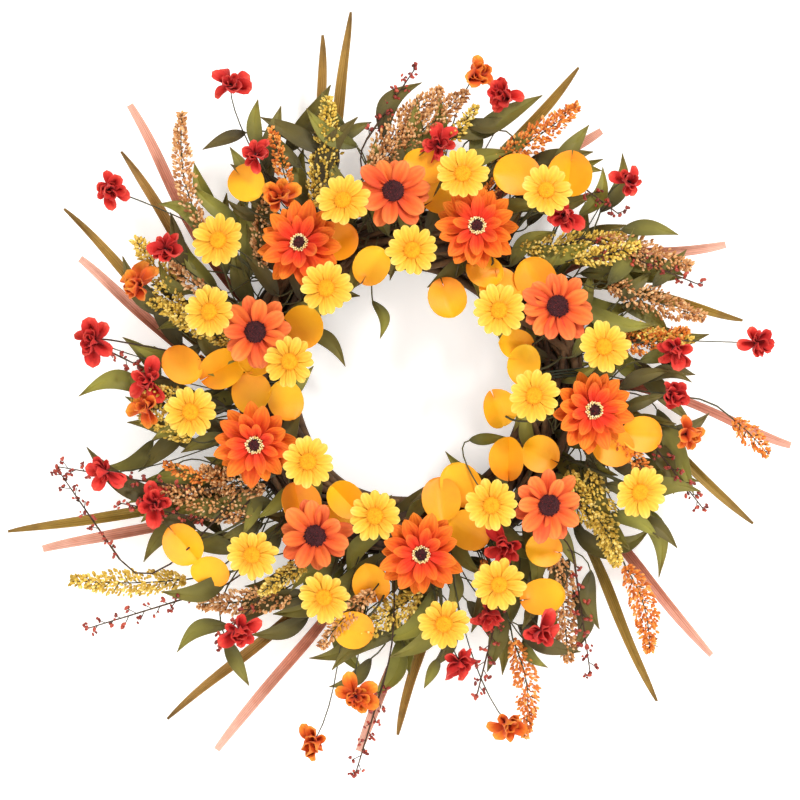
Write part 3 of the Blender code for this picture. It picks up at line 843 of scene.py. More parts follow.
class VineTree(Tree):
    """Vines wound together round the wreath's ring, each on its own path, flat where they meet the door."""

    name = "bound_vines"
    keeps_base = False
    steps = 170  # round the ring
    inputs = {
        "Vines": Socket.COUNT,
        "Ring": Socket.NUMBER,
        "Bundle": Socket.NUMBER,
        "Back": Socket.NUMBER,
        "Thickness": Socket.NUMBER,
        "Seed": Socket.COUNT,
        "Material": Socket.MATERIAL,
    }

    def build(self, graph: Graph, given: Inputs) -> bpy.types.NodeSocket:
        """Copies a circle for each vine, winds it about the ring's centreline, and gives it a body.

        Args:
            graph: The tree's nodes.
            given: Its inputs.

        Returns:
            The vines.
        """
        round_ring = {"Resolution": self.steps, "Radius": 1.0}
        circle = graph.out("GeometryNodeCurvePrimitiveCircle", None, round_ring)
        copied = {"Geometry": circle, "Amount": given["Vines"]}
        many = graph.add("GeometryNodeDuplicateElements", {"domain": "SPLINE"}, copied).outputs
        number = many["Duplicate Index"]
        ranges = ((-2.6, 4.6), (0.0, FULL_TURN), (0.35, 0.93), (0.0, 1.0), (0.55, 1.0))
        # With the vine's number as its ID, each chance stays the same along one vine.
        seeds = [graph.out(MATH, ADD, (given["Seed"], shift)) for shift in range(1, 6)]
        winds, start, share, tone, girth = (
            graph.out(CHANCE, FLOAT, {2: low, 3: high, "ID": number, "Seed": seed})
            for (low, high), seed in zip(ranges, seeds)
        )
        passed = graph.out("GeometryNodeSplineParameter", name="Factor")
        around = graph.out(MATH, MULTIPLY, (passed, FULL_TURN))
        wound = graph.out(MATH, MULTIPLY, (around, graph.out(MATH, ROUND, (winds,))))
        wind = graph.out(MATH, ADD, (wound, start))
        swayed = graph.out(MATH, ADD, (graph.out(MATH, MULTIPLY, (around, 5.0)), wind))
        sway = graph.out(MATH, MULTIPLY, (graph.out(MATH, SINE, (swayed,)), 0.06))
        deep = graph.out(MATH, MULTIPLY, (graph.out(MATH, ADD, (share, sway)), given["Bundle"]))
        aside, risen = (
            graph.out(MATH, MULTIPLY, (deep, graph.out(MATH, way, (wind,)))) for way in (COSINE, SINE)
        )
        reach = graph.out(MATH, ADD, (given["Ring"], aside))
        flat = graph.out(MATH, ADD, (graph.out(MATH, MULTIPLY, (given["Back"], -1.0)), given["Thickness"]))
        x, y = (
            graph.out(MATH, MULTIPLY, (reach, graph.out(MATH, way, (around,)))) for way in (COSINE, SINE)
        )
        lift = graph.out(MATH, MAXIMUM, (risen, flat))
        place = graph.out("ShaderNodeCombineXYZ", None, {"X": x, "Y": y, "Z": lift})
        paths = graph.out("GeometryNodeSetPosition", None, {"Geometry": many[0], "Position": place})
        by_vine = {"data_type": "FLOAT", "domain": "POINT"}
        named = {"Geometry": paths, "Name": "tone", "Value": tone}
        toned = graph.out("GeometryNodeStoreNamedAttribute", by_vine, named)
        width = graph.out(MATH, MULTIPLY, (girth, given["Thickness"]))
        sized = graph.out("GeometryNodeSetCurveRadius", None, {"Curve": toned, "Radius": width})
        profile = graph.out("GeometryNodeCurvePrimitiveCircle", None, {"Resolution": 6, "Radius": 1.0})
        links = {"Curve": sized, "Profile Curve": profile, "Scale": graph.out("GeometryNodeInputRadius")}
        return graph.out("GeometryNodeCurveToMesh", None, links)


class Trees:
    """The geometry trees, built once."""

    def __init__(self) -> None:
        """Builds each tree."""
        self.whorl = WhorlTree()
        self.plume = PlumeTree()
        self.heart = HeartTree()
        self.vines = VineTree()


def grown(name: str, base: bpy.types.Mesh, steps: list[tuple[Tree, dict]]) -> bpy.types.Mesh:
    """Runs trees over a mesh and bakes what they make.

    Args:
        name: The new mesh's name.
        base: What goes into the first tree.
        steps: Trees with their inputs, in order.

    Returns:
        The plain mesh.
    """
    obj = bpy.data.objects.new(name + "_grown", base)
    bpy.context.scene.collection.objects.link(obj)
    for tree, values in steps:
        tree.put_on(obj, **values)
    bpy.context.view_layer.update()
    graph = bpy.context.evaluated_depsgraph_get()
    mesh = bpy.data.meshes.new_from_object(obj.evaluated_get(graph))
    mesh.name = name
    bpy.data.objects.remove(obj)
    return mesh


# ---------------------------------------------------------------- places


@dataclass
class WreathFrame:
    """Places on the wreath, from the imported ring: a clock angle, a distance beyond and a depth."""

    bundle: float = 27 * MM
    back: float = 25 * MM
    loop_reach: float = 26.0  # degrees each way from the top
    loop_lean: float = 66.0
    loop_depth: float = 50.0
    centre: Vector = field(init=False)
    door: float = field(init=False)
    ring: float = field(init=False)

    def __post_init__(self) -> None:
        """Reads the ring's box."""
        low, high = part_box("vine_ring")
        self.centre = Vector(((low[0] + high[0]) / 2, 0, (low[2] + high[2]) / 2))
        self.door = high[1]
        self.ring = (high[0] - low[0]) / 2 - self.bundle

    def radial(self, clock: float) -> Vector:
        """The direction outward at a clock angle, 0 at the top and clockwise from the front."""
        return Vector((math.sin(math.radians(clock)), 0, math.cos(math.radians(clock))))

    def at(self, clock: float, beyond: float, depth: float) -> Vector:
        """A place on the wreath.

        Args:
            clock: Clock angle in degrees.
            beyond: Millimetres beyond the ring's centreline.
            depth: Millimetres in front of the door.

        Returns:
            The point in metres.
        """
        place = self.centre + self.radial(clock) * (self.ring + beyond * MM)
        return Vector((place.x, self.door - depth * MM, place.z))

    def clock_of(self, place: Vector) -> float:
        """The clock angle of a point."""
        return math.degrees(math.atan2(place.x - self.centre.x, place.z - self.centre.z))

    def beyond_of(self, place: Vector) -> float:
        """How far a point lies beyond the ring's centreline, in metres."""
        return math.hypot(place.x - self.centre.x, place.z - self.centre.z) - self.ring

    def rim(self, clock: float, lean: float, sunk: float = 4.0) -> Vector:
        """A point just under the bundle's surface, where a stem goes in.

        Args:
            clock: Clock angle in degrees.
            lean: 0 to leave the bundle outward, 90 to leave it to the front.
            sunk: Millimetres below the surface.

        Returns:
            The point.
        """
        reach = self.bundle - sunk * MM
        out = self.radial(clock) * math.cos(math.radians(lean)) + FRONT * math.sin(math.radians(lean))
        return self.at(clock, 0, self.back / MM) + out * reach

    def lean_by_loop(self, clock: float, lean: float) -> float:
        """A stem's lean, further forward beside the hanger loop, which the wreath swings past."""
        return max(lean, self.loop_lean) if self.by_loop(clock) else lean

    def depth_by_loop(self, clock: float, depth: float) -> float:
        """A pick's depth, further forward beside the hanger loop, which the wreath swings past."""
        return max(depth, self.loop_depth) if self.by_loop(clock) else depth

    def by_loop(self, clock: float) -> bool:
        """Whether a pick at a clock angle is near enough the top to sweep the hanger loop."""
        return abs((clock + 180) % 360 - 180) < self.loop_reach


def bend(
    start: Vector, leave: Vector, end: Vector, arrive: Vector, steps: int = 10, pull: float = 0.4
) -> list[Vector]:
    """Points on a smooth bend between two places, with its directions at both ends.

    Args:
        start: Its first point.
        leave: The way it leaves there.
        end: Its last point.
        arrive: The way it arrives there.
        steps: How many steps it has.
        pull: How far each end keeps its own way, of the distance.

    Returns:
        The points.
    """
    reach = (end - start).length * pull
    first, last = start + leave.normalized() * reach, end - arrive.normalized() * reach
    points = []
    for i in range(steps + 1):
        t = i / steps
        s = 1 - t
        points.append(start * s**3 + first * 3 * s * s * t + last * 3 * s * t * t + end * t**3)
    return points


def turned_frame(place: Vector, ahead: Vector, spin: float = 0.0) -> Matrix:
    """A frame at a place whose Z points ahead, spun about it."""
    turn = ahead.to_track_quat("Z", "Y").to_matrix().to_4x4()
    return Matrix.Translation(place) @ turn @ Matrix.Rotation(spin, 4, "Z")


class Maker:
    def __init__(self) -> None:
        """Starts the count."""
        self.triangles = 0
        self.pieces = 0

    def piece(self, name: str, mesh: bpy.types.Mesh, slot: str, *nodes: str, body: str = "wreath") -> None:
        """Makes a piece of a mesh that already lies in its place.

        Args:
            name: The piece's name.
            mesh: Its mesh, in the shared frame.
            slot: A material slot's name; not used.
            nodes: CAD nodes that it stands for.
            body: The CAD body that it rides on.
        """
        obj = bpy.data.objects.new(name, mesh)
        bpy.context.scene.collection.objects.link(obj)
        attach(obj, body)
        if nodes:
            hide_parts(*nodes)
        mesh.calc_loop_triangles()
        self.triangles += len(mesh.loop_triangles)
        self.pieces += 1
        LOG.info("%s: %d triangles", name, len(mesh.loop_triangles))


# ---------------------------------------------------------------- blooms


@dataclass(frozen=True)
class Petal:
    """One pressed petal, root at the origin, running along +X with its face to +Z."""

    length: float
    width: float
    root: float = 0.35  # of the width
    point: float = 0.0  # 0 a round tip, 1 a sharp one
    cup: float = 0.18  # sides raised, of the width
    curl: float = 0.25  # tip raised, of the length
    fold: float = 0.06  # crease down the middle, of the width
    notch: float = 0.0  # dip in the tip, of the length
    rows: int = 9
    columns: int = 7
    thickness: float = 0.35 * MM

    def outline(self, t: float) -> float:
        """Half the width at a share of the length.

        Args:
            t: The share, 0 at the root and 1 at the tip.

        Returns:
            Half the width there, in metres.
        """
        swell = self.root + (1 - self.root) * math.sin(min(1.0, t / 0.62) * math.pi / 2) ** 1.2
        if t > 0.62:
            u = (t - 0.62) / 0.38
            round_end = math.sqrt(max(0.0, 1 - u**2.4))
            sharp_end = (1 - u) ** 0.85
            swell *= round_end * (1 - self.point) + sharp_end * self.point
        return max(0.03, swell) * self.width / 2

    def mesh(self, name: str, finish: Finish, seed: int = 0) -> bpy.types.Mesh:
        """The petal as a closed mesh.

        Args:
            name: The mesh's name.
            finish: Its cloth.
            seed: For the ripple along its edges.

        Returns:
            The mesh.
        """
        rng = random.Random(seed)
        wave = [rng.uniform(-1, 1) for _ in range(4)]
        grid = []
        for i in range(self.rows):
            t = 1 - (1 - i / (self.rows - 1)) ** 1.25
            half = self.outline(t)
            row = []
            for j in range(self.columns):
                s = -1 + 2 * j / (self.columns - 1)
                x = self.length * (t - self.notch * max(0.0, 1 - abs(s) * 2) * t**3)
                lift = self.curl * self.length * (t**2.2 * 0.8 - 0.25 * math.sin(math.pi * t))
                lift += self.cup * self.width * s * s * math.sin(math.pi * min(1.0, t + 0.1))
                crease = max(0.0, 1 - abs(s) * 3) * math.sin(math.pi * min(1, t + 0.15))
                lift -= self.fold * self.width * crease
                ripple = math.sin(5 * t + wave[0] * 3 + s * wave[1] * 3) * 0.03 * self.width * abs(s)
                row.append((x, s * half, lift + ripple))
            grid.append(row)
        shell = Shell()
        shell.slab(grid, self.thickness, 0.5, finish)
        return shell.mesh(name)


class Pressings:
    """The petals, grains and florets that the trees copy, each made once and removed at the end."""

    def __init__(self) -> None:
        """Starts empty."""
        self.made: dict[str, bpy.types.Object] = {}

    def petal(self, name: str, petal: Petal, finish: Finish, seed: int = 0) -> bpy.types.Object:
        """A petal to copy.

        Args:
            name: The piece's name.
            petal: The petal's shape.
            finish: Its finish.
            seed: For its chances.

        Returns:
            The petal.
        """
        if name not in self.made:
            self.made[name] = scratch(name, petal.mesh(name, finish, seed))
        return self.made[name]

    def grain(
        self, name: str, width: float, length: float, finish: Finish, steps: int = 5
    ) -> bpy.types.Object:
        """An egg-shaped grain to copy, which stands on its foot.

        Args:
            name: The piece's name.
            width: Its width.
            length: Its length.
            finish: Its finish.
            steps: How many steps go round.

        Returns:
            The grain.
        """
        if name not in self.made:
            shell = Shell()
            profile = [
                (width / 2 * math.sin(math.pi * t) ** 0.8 if 0 < t < 1 else width * 0.05, length * t)
                for t in (0.0, 0.2, 0.5, 0.8, 1.0)
            ]
            shell.turned(profile, Matrix.Identity(4), 0.5, finish, steps)
            self.made[name] = scratch(name, shell.mesh(name))
        return self.made[name]

    def clear(self) -> None:
        """Removes what was only for copying."""
        for obj in self.made.values():
            bpy.data.objects.remove(obj)


@dataclass(frozen=True)
class Whorl:
    """One layer of petals in a head."""

    petal: Petal
    count: int
    hub: float
    lift: float
    tilt: float  # degrees up from flat
    finish: Finish
    tone: float = 0.5
    uneven: float = 0.1


@dataclass(frozen=True)
class Heart:
    """The middle of a head: a dome crowded with florets, and perhaps a ring of stamens round it."""

    radius: float
    height: float
    lift: float
    dome: Finish
    floret: Finish
    florets: int
    floret_size: float
    rim_finish: Finish | None = None
    rim_florets: int = 0


@dataclass
class BloomKind:
    """A kind of cloth bloom: its layers from the back to the front, its heart and its stem."""

    label: str
    slot: str
    whorls: tuple[Whorl, ...]
    heart: Heart
    stem_radius: float = 1.5 * MM
    cup_radius: float = 5 * MM
    forward: float = 0.0  # how far its back stands before its CAD node's

    def make(
        self, node: str, seed: int, frame: WreathFrame, trees: Trees, kit: Pressings, maker: Maker
    ) -> None:
        """Makes one bloom in the place of its CAD node.

        Args:
            node: The CAD node that it replaces.
            seed: For how its petals lie.
            frame: The wreath's places.
            trees: The geometry trees.
            kit: The pressings that they copy.
            maker: Where the piece goes.
        """
        rng = random.Random(seed)
        centre, back, foot = self.places(node)
        outward = frame.radial(frame.clock_of(centre))
        sway = Vector((rng.uniform(-0.1, 0.1), 0, rng.uniform(-0.1, 0.1)))
        ahead = (FRONT + outward * (0.16 + 2.2 * frame.beyond_of(centre)) + sway).normalized()
        middle = Vector((centre.x, back - self.forward, centre.z))
        head = turned_frame(middle, ahead, rng.uniform(0, FULL_TURN))
        into = head.inverted()

        shell = Shell()
        end = head.translation + ahead * 2 * MM
        ring_axis = frame.at(frame.clock_of(foot), 0, frame.back / MM)
        leave = foot - ring_axis
        stem = [into @ p for p in bend(foot, leave, end, ahead, 12)]
        shell.tube(stem, self.stem_radius, 0.4, TAPED_WIRE, 8)
        profile = ((0.3, -5), (0.8, -2), (1, 1), (0.2, 3))  # of the cup's radius, and mm
        cup = [(share * self.cup_radius, height * MM) for share, height in profile]
        shell.turned(cup, Matrix.Identity(4), 0.3, OLIVE_LEAF_CLOTH, 10)
        heart = self.heart
        foot_height = heart.lift - heart.height * 0.25
        dome = [
            (heart.radius * math.cos(a), foot_height + heart.height * math.sin(a))
            for a in (0, 0.35, 0.7, 1.05, 1.35)
        ]
        dome = [(heart.radius * 0.5, 0.5 * MM), (heart.radius * 0.9, heart.lift * 0.5), *dome]
        shell.turned(dome, Matrix.Identity(4), 0.35, heart.dome, 14)

        steps = []
        for number, whorl in enumerate(self.whorls):
            petal = kit.petal(f"{self.label}_petal_{number}", whorl.petal, whorl.finish, number)
            values = {
                "Petal": petal,
                "Petals": whorl.count,
                "Hub": whorl.hub,
                "Lift": whorl.lift,
                "Tilt": math.radians(whorl.tilt),
                "Unevenness": whorl.uneven,
                "Size": rng.uniform(0.96, 1.04),
                "Phase": number * math.pi / whorl.count + rng.uniform(-0.05, 0.05),
                "Tone": min(0.9, max(0.1, whorl.tone + rng.uniform(-0.15, 0.15))),
                "Seed": seed * 10 + number,
                "Material": whorl.finish.material(),
            }
            steps.append((trees.whorl, values))
        dome_florets = self.florets(kit, 0, heart.florets, heart.radius * 0.95, heart.floret, seed)
        steps.append((trees.heart, dome_florets))
        if heart.rim_finish:
            total = heart.florets + heart.rim_florets
            rim = self.florets(kit, heart.florets, total, heart.radius * 1.25, heart.rim_finish, seed)
            steps.append((trees.heart, rim))
        mesh = grown(node + "_cloth", shell.mesh(node + "_base"), steps)
        mesh.transform(head)
        maker.piece(node + "_bloom", mesh, self.slot, node)

    def places(self, node: str) -> tuple[Vector, float, Vector]:
        """The head's centre, the depth of its back, and its stem's foot, read from its CAD node.

        Args:
            node: The CAD node that it stands for.

        Returns:
            The centre, the depth of the back, and the foot.
        """
        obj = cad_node(node)
        points = np.array([tuple(v.co) for v in obj.data.vertices])
        front = points[points[:, 1] < points[:, 1].min() + 6 * MM]
        centre = (front.min(axis=0) + front.max(axis=0)) / 2
        middle = Vector(centre)
        away = np.linalg.norm(points - centre, axis=1)
        foot = points[away > away.max() - 2.5 * MM].mean(axis=0)
        back = points[:, 1].min() + 6 * MM
        return middle, back, Vector(foot)

    def florets(
        self, kit: Pressings, first: int, last: int, radius: float, finish: Finish, seed: int
    ) -> dict[str, Value]:
        """The heart tree's inputs for florets from the first number to the last.

        Args:
            kit: The pressings that they copy.
            first: The first floret's number.
            last: The number after the last.
            radius: How far they reach.
            finish: Its finish.
            seed: For its chances.

        Returns:
            The heart tree's inputs by name.
        """
        heart = self.heart
        size = heart.floret_size
        floret = kit.grain(f"{self.label}_floret_{finish.name}", size, size * 1.3, finish)
        return {
            "Floret": floret,
            "Florets": last,
            "First": first,
            "Radius": radius,
            "Lift": heart.lift + heart.height * 0.72 - size * 0.7,
            "Dome": heart.height * 0.75,
            "Size": 1.0,
            "Seed": seed,
            "Material": finish.material(),
        }


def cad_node(name: str) -> bpy.types.Object:
    """A CAD node's object."""
    return bpy.data.objects[name]


def daisy_petal(length: float) -> Petal:
    """A daisy's petal: blunt and almost flat, rounded over and creased down its middle."""
    return Petal(length, 7.8 * MM, cup=-0.12, curl=0.04, root=0.5, fold=0.16, rows=10)


DAISY = BloomKind(
    "daisy",
    "daisy_petals",
    (
        Whorl(daisy_petal(16.2 * MM), 7, 4.0 * MM, 1.6 * MM, 2, BUTTER_CLOTH, 0.5, 0.13),
        Whorl(daisy_petal(15.8 * MM), 7, 4.0 * MM, 2.2 * MM, 4, BUTTER_CLOTH, 0.35, 0.13),
    ),
    Heart(6.4 * MM, 3.4 * MM, 3.0 * MM, EGG_YOLK_PLUSH, EGG_YOLK_PLUSH, 120, 1.0 * MM),
    forward=3.5 * MM,
)


def gerbera_petal(length: float) -> Petal:
    """A gerbera's petal: a broad paddle with a slight point and a deep crease."""
    return Petal(length, 12.5 * MM, cup=0.1, curl=0.06, root=0.42, point=0.15, fold=0.14)


def zinnia_petal(length: float) -> Petal:
    """A zinnia's petal: long, drawn to a point, and creased like a boat."""
    return Petal(length, 0.5 * length, cup=0.2, curl=0.16, root=0.4, point=0.6, fold=0.14)


GERBERA = BloomKind(
    "gerbera",
    "gerbera_petals",
    (
        Whorl(gerbera_petal(23.5 * MM), 7, 5 * MM, 0.6 * MM, 0, CORAL_CLOTH, 0.6, 0.24),
        Whorl(gerbera_petal(21.5 * MM), 7, 4.5 * MM, 2.4 * MM, 8, CORAL_CLOTH, 0.15, 0.26),
    ),
    Heart(8.4 * MM, 4.2 * MM, 4.0 * MM, MAROON_FLOCK, MAROON_FLOCK, 150, 1.3 * MM),
    cup_radius=7 * MM,
)
ZINNIA = BloomKind(
    "zinnia",
    "zinnia_petals",
    (
        Whorl(zinnia_petal(28 * MM), 9, 5 * MM, 1 * MM, 3, FLAME_CLOTH, 0.0, 0.18),
        Whorl(zinnia_petal(26 * MM), 9, 5 * MM, 3 * MM, 12, FLAME_CLOTH, 0.25, 0.22),
        Whorl(zinnia_petal(19 * MM), 8, 4.5 * MM, 5 * MM, 24, FLAME_CLOTH, 0.95, 0.26),
    ),
    Heart(4.8 * MM, 3.8 * MM, 7.0 * MM, MAROON_FLOCK, MAROON_FLOCK, 34, 1.8 * MM, CREAM_STAMEN, 44),
    cup_radius=7 * MM,
)


# ---------------------------------------------------------------- leaves and grasses


# Where each kind's wired picks go into the bundle, as clock angles, in the CAD nodes' order.
PICK_CLOCKS = {
    "golden_spray": (332, 41, 112, 151, 275),
    "foliage_spray": (330, 66, 124, 240, 284),
    "blossom_spray": (298, 331, 29, 90, 163),
}


def nearest_pick(kind: str, clock: float) -> str:
    """The CAD node of the pick of a kind that goes in nearest to a clock angle.

    Args:
        kind: The kind of pick.
        clock: Clock angle in degrees.

    Returns:
        The pick's node.
    """
    clocks = PICK_CLOCKS[kind]
    gaps = [abs((clock - other + 180) % 360 - 180) for other in clocks]
    return f"{kind}_{gaps.index(min(gaps)) + 1}"


def by_pick(places: tuple, kind: str) -> dict[str, list]:
    """Places grouped by the pick that they are wired to; each place starts with its clock angle.

    Args:
        places: Rows that start with a clock angle.
        kind: The kind of pick.

    Returns:
        The rows by the pick's node.
    """
    groups: dict[str, list] = {f"{kind}_{i + 1}": [] for i in range(len(PICK_CLOCKS[kind]))}
    for place in places:
        groups[nearest_pick(kind, place[0])].append(place)
    return groups


def leaf_grid(
    start: Vector, end: Vector, width: float, face: Vector, cup: float, sway: float, curl: float
) -> list[Points]:
    """A long pointed leaf's grid of points.

    Args:
        start: Its foot.
        end: Its tip, before it sways and curls.
        width: At its widest.
        face: Roughly the way that it faces.
        cup: How far its sides rise, of its width.
        sway: How far it bows sideways, of its length.
        curl: How far its tip rises, of its length.

    Returns:
        The grid, foot to tip.
    """
    length = (end - start).length
    along = (end - start).normalized()
    side = along.cross(face).normalized()
    face = side.cross(along).normalized()
    grid = []
    for i in range(17):
        t = i / 16
        share = max(0.04, math.sin(math.pi * t**0.8) ** 0.9 * (1 - 0.25 * t))
        half = width / 2 * share + 0.3 * MM * (1 - t)
        middle = start.lerp(end, t) + side * (sway * length * math.sin(math.pi * t))
        middle = middle + face * (length * (curl * t * t + 0.06 * math.sin(math.pi * t)))
        row = []
        for j in range(7):
            s = -1 + j / 3
            rise = cup * width * s * s * math.sin(math.pi * t) - 0.05 * width * max(0.0, 1 - abs(s) * 3)
            row.append(middle + side * (s * half) + face * rise)
        grid.append(row)
    return grid


@dataclass
class LeafPicks:
    """Golden round leaves and olive long ones, each on a short wire that runs back into the bundle.

    Places are a clock angle, mm beyond the centreline and depth; a green leaf has both its ends.
    """

    golden_length: float = 33 * MM
    golden_width: float = 31 * MM
    filler_leaves: int = 230
    inner_leaves: int = 24
    wire_radius: float = 0.9 * MM
    golden: tuple[tuple[float, float], ...] = ()
    green: tuple[tuple[float, float, float, float], ...] = ()

    def make_golden(self, frame: WreathFrame, maker: Maker) -> None:
        """Makes each golden spray's leaves as one piece.

        Args:
            frame: The wreath's places.
            maker: Where the pieces go.
        """
        for node, leaves in by_pick(self.golden, "golden_spray").items():
            rng = random.Random(node)
            shell = Shell()
            for clock, beyond in leaves:
                place = frame.at(clock, beyond, rng.uniform(54, 60))
                along = frame.radial(clock + rng.uniform(-50, 50)) * (1 if beyond > -5 else -1)
                face = FRONT + frame.radial(clock) * rng.uniform(-0.2, 0.4)
                face = (face + along * rng.uniform(-0.35, 0.25)).normalized()
                size = rng.uniform(0.86, 1.12)
                shape = (self.golden_length * size, self.golden_width * size * rng.uniform(0.85, 1.05))
                fold = rng.choice((0.05, 0.16, 0.35, 0.7))
                turn = turned_frame(place, face, rng.uniform(0, 6))
                grid = self.coin(*shape, turn, fold, rng.uniform(-0.1, 0.16), rng.choice((0, 0.24)))
                shell.slab(grid, 0.45 * MM, rng.random(), GOLD_LEAF_CLOTH)
                lean = 75 if beyond < 20 else 25
                foot = frame.rim(clock + rng.uniform(-5, 5), lean)
                tip = place - along * self.golden_length * 0.3 * size - face * 2.5 * MM
                out = foot - frame.at(clock, 0, frame.back / MM)
                shell.tube(bend(foot, out, tip, along + face * -0.3), self.wire_radius, 0.5, TAPED_WIRE)
            maker.piece(node + "_leaves", shell.mesh(node + "_leaves"), "golden_leaves", node)

    def coin(self, length: float, width: float, place: Matrix, fold: float, bow: float, dip: float) -> list:
        """A round leaf's grid in its place.

        Args:
            length: Along its midrib.
            width: Across it.
            place: Its middle, facing along Z.
            fold: How far its halves fold up, of their reach.
            bow: How far its ends rise, of its length.
            dip: How far its foot dips in, as a heart's does, of its length.

        Returns:
            The grid.
        """
        grid = []
        for i in range(13):
            t = -math.cos(math.pi * i / 12)
            half = width / 2 * max(0.05, math.sqrt(max(0.0, 1 - abs(t) ** 2.1)))
            row = []
            for j in range(9):
                s = -1 + j / 4
                rise = abs(s) * half * fold + bow * length * t * t + 0.05 * length * s * s * t
                inward = dip * length * (1 - abs(s)) ** 1.4 * max(0.0, -t) ** 3
                row.append(place @ Vector((t * length / 2 + inward, s * half, rise)))
            grid.append(row)
        return grid

    def fillers(self) -> list[tuple[float, float, float, float]]:
        """Feet and tips of the leaves that crowd between the blooms, spread by the golden angle.

        Returns:
            Clock and mm beyond of each foot, then of each tip.
        """
        rng = random.Random(11)
        leaves = []
        for k in range(self.filler_leaves):
            clock = k * 137.508 % 360
            beyond = 92 * (k * 0.7549 % 1)
            leaves.append((clock, beyond, clock + rng.uniform(-9, 16), beyond + rng.uniform(30, 50)))
        for k in range(self.inner_leaves):
            clock = k * 360 / self.inner_leaves + rng.uniform(-6, 6)
            tip_clock = clock + rng.choice((-1, 1)) * rng.uniform(12, 22)
            leaves.append((clock, -2, tip_clock, rng.uniform(-38, -20)))
        return leaves

    def make_green(self, frame: WreathFrame, maker: Maker) -> None:
        """Makes each foliage spray's leaves as one piece.

        Args:
            frame: The wreath's places.
            maker: Where the pieces go.
        """
        for node, leaves in by_pick((*self.green, *self.fillers()), "foliage_spray").items():
            rng = random.Random(node)
            shell = Shell()
            for base_clock, base, tip_clock, tip in leaves:
                depth = frame.depth_by_loop(base_clock, rng.uniform(26, 50))
                start = frame.at(base_clock, base, depth)
                end = frame.at(tip_clock, tip, depth + rng.uniform(-4, 6))
                along = end - start
                length = along.length
                face = FRONT + frame.radial(tip_clock) * rng.uniform(-0.2, 0.5)
                face = face + Vector((rng.uniform(-0.4, 0.4), 0, 0))
                width = min(17 * MM, max(10 * MM, length * 0.32))
                bow = (rng.uniform(0.05, 0.2), rng.uniform(-0.22, 0.22), rng.uniform(-0.25, 0.15))
                grid = leaf_grid(start, end, width, face, *bow)
                shell.slab(grid, 0.4 * MM, rng.random(), OLIVE_LEAF_CLOTH)
                lean = frame.lean_by_loop(base_clock, 14 if base > 20 else 80)
                foot = frame.rim(base_clock + rng.uniform(-14, 14), lean)
                out = frame.radial(base_clock) * (1 if base > 20 else 0) + FRONT * 0.4
                wire = bend(foot, out, start + along * 0.05, along)
                shell.tube(wire, self.wire_radius * 0.7, 0.7, TAPED_WIRE)
            maker.piece(node + "_leaves", shell.mesh(node + "_leaves"), "green_foliage", node)


@dataclass
class GrassPicks:
    """Pairs of long grass blades, folded along the middle, which sweep clockwise as they run outward."""

    width: float = 8.2 * MM
    lean: float = -14.0
    tips: tuple = ()

    def make(self, frame: WreathFrame, maker: Maker) -> None:
        """Makes each pair as one piece in the place of its CAD node.

        Args:
            frame: The wreath's places.
            maker: Where the pieces go.
        """
        for number, (root_clock, pair) in enumerate(self.tips, 1):
            rng = random.Random(90 + number)
            shell = Shell()
            foot = frame.rim(root_clock, self.lean)
            out = (foot - frame.at(root_clock, 0, frame.back / MM)).normalized()
            shell.tube([foot - out * 3 * MM, foot + out * 9 * MM], 2.0 * MM, 0.4, TAPED_WIRE, 8)
            for order, (clock, beyond, depth, finish) in enumerate(pair):
                tip = frame.at(clock, beyond, depth)
                along = (tip - foot).normalized()
                aside = along.cross(out.cross(along)).normalized() if order else out
                path = bend(foot, along + aside, tip, along, 26, 0.3)
                sharp = 0.45 if finish is BLUSH_GRASS_CLOTH else 0.85
                shell.slab(self.blade(path, sharp, rng), 0.5 * MM, rng.random(), finish)
            name = f"grass_blades_{number:02d}"
            maker.piece(name, shell.mesh(name), "grass_blades", f"grass_pair_{number:02d}")

    def blade(self, path: list[Vector], sharp: float, rng: random.Random) -> list:
        """A blade's grid along its path, with a slow twist and a fold on its midrib.

        Args:
            path: Its midrib, foot to tip.
            sharp: How far its tip narrows, 0 for cut square and 1 for a point.
            rng: Where its chances come from.

        Returns:
            The grid.
        """
        twist, phase = rng.uniform(-0.5, 0.5), rng.uniform(0, 6)
        grid = []
        last = len(path) - 1
        for i, point in enumerate(path):
            t = i / last
            along = (path[min(i + 1, last)] - path[max(i - 1, 0)]).normalized()
            side = along.cross(FRONT).normalized()
            face = side.cross(along).normalized()
            turn = twist * math.sin(3 * t + phase) + 0.25 * math.sin(9 * t + phase)
            cosine, sine = math.cos(turn), math.sin(turn)
            side, face = side * cosine + face * sine, face * cosine - side * sine
            swell = 0.45 + 0.55 * math.sin(min(1, t * 1.6) * math.pi / 2)
            half = self.width / 2 * swell * (1 - sharp * t**6) + 0.25 * MM
            row = []
            for j in range(7):
                s = -1 + 2 * j / 6
                row.append(point + side * (s * half) + face * (abs(s) * half * 0.7))
            grid.append(row)
        return grid


# ---------------------------------------------------------------- plumes, twigs and blossoms


class Paint(Enum):
    """The paints that the seed grains are dipped in."""

    STRAW = "straw"
    TAN = "tan"
    RUST = "rust"

    @property
    def finish(self) -> Finish:
        """The paint's finish."""
        return {Paint.STRAW: STRAW_SEED, Paint.TAN: TAN_SEED, Paint.RUST: RUST_SEED}[self]


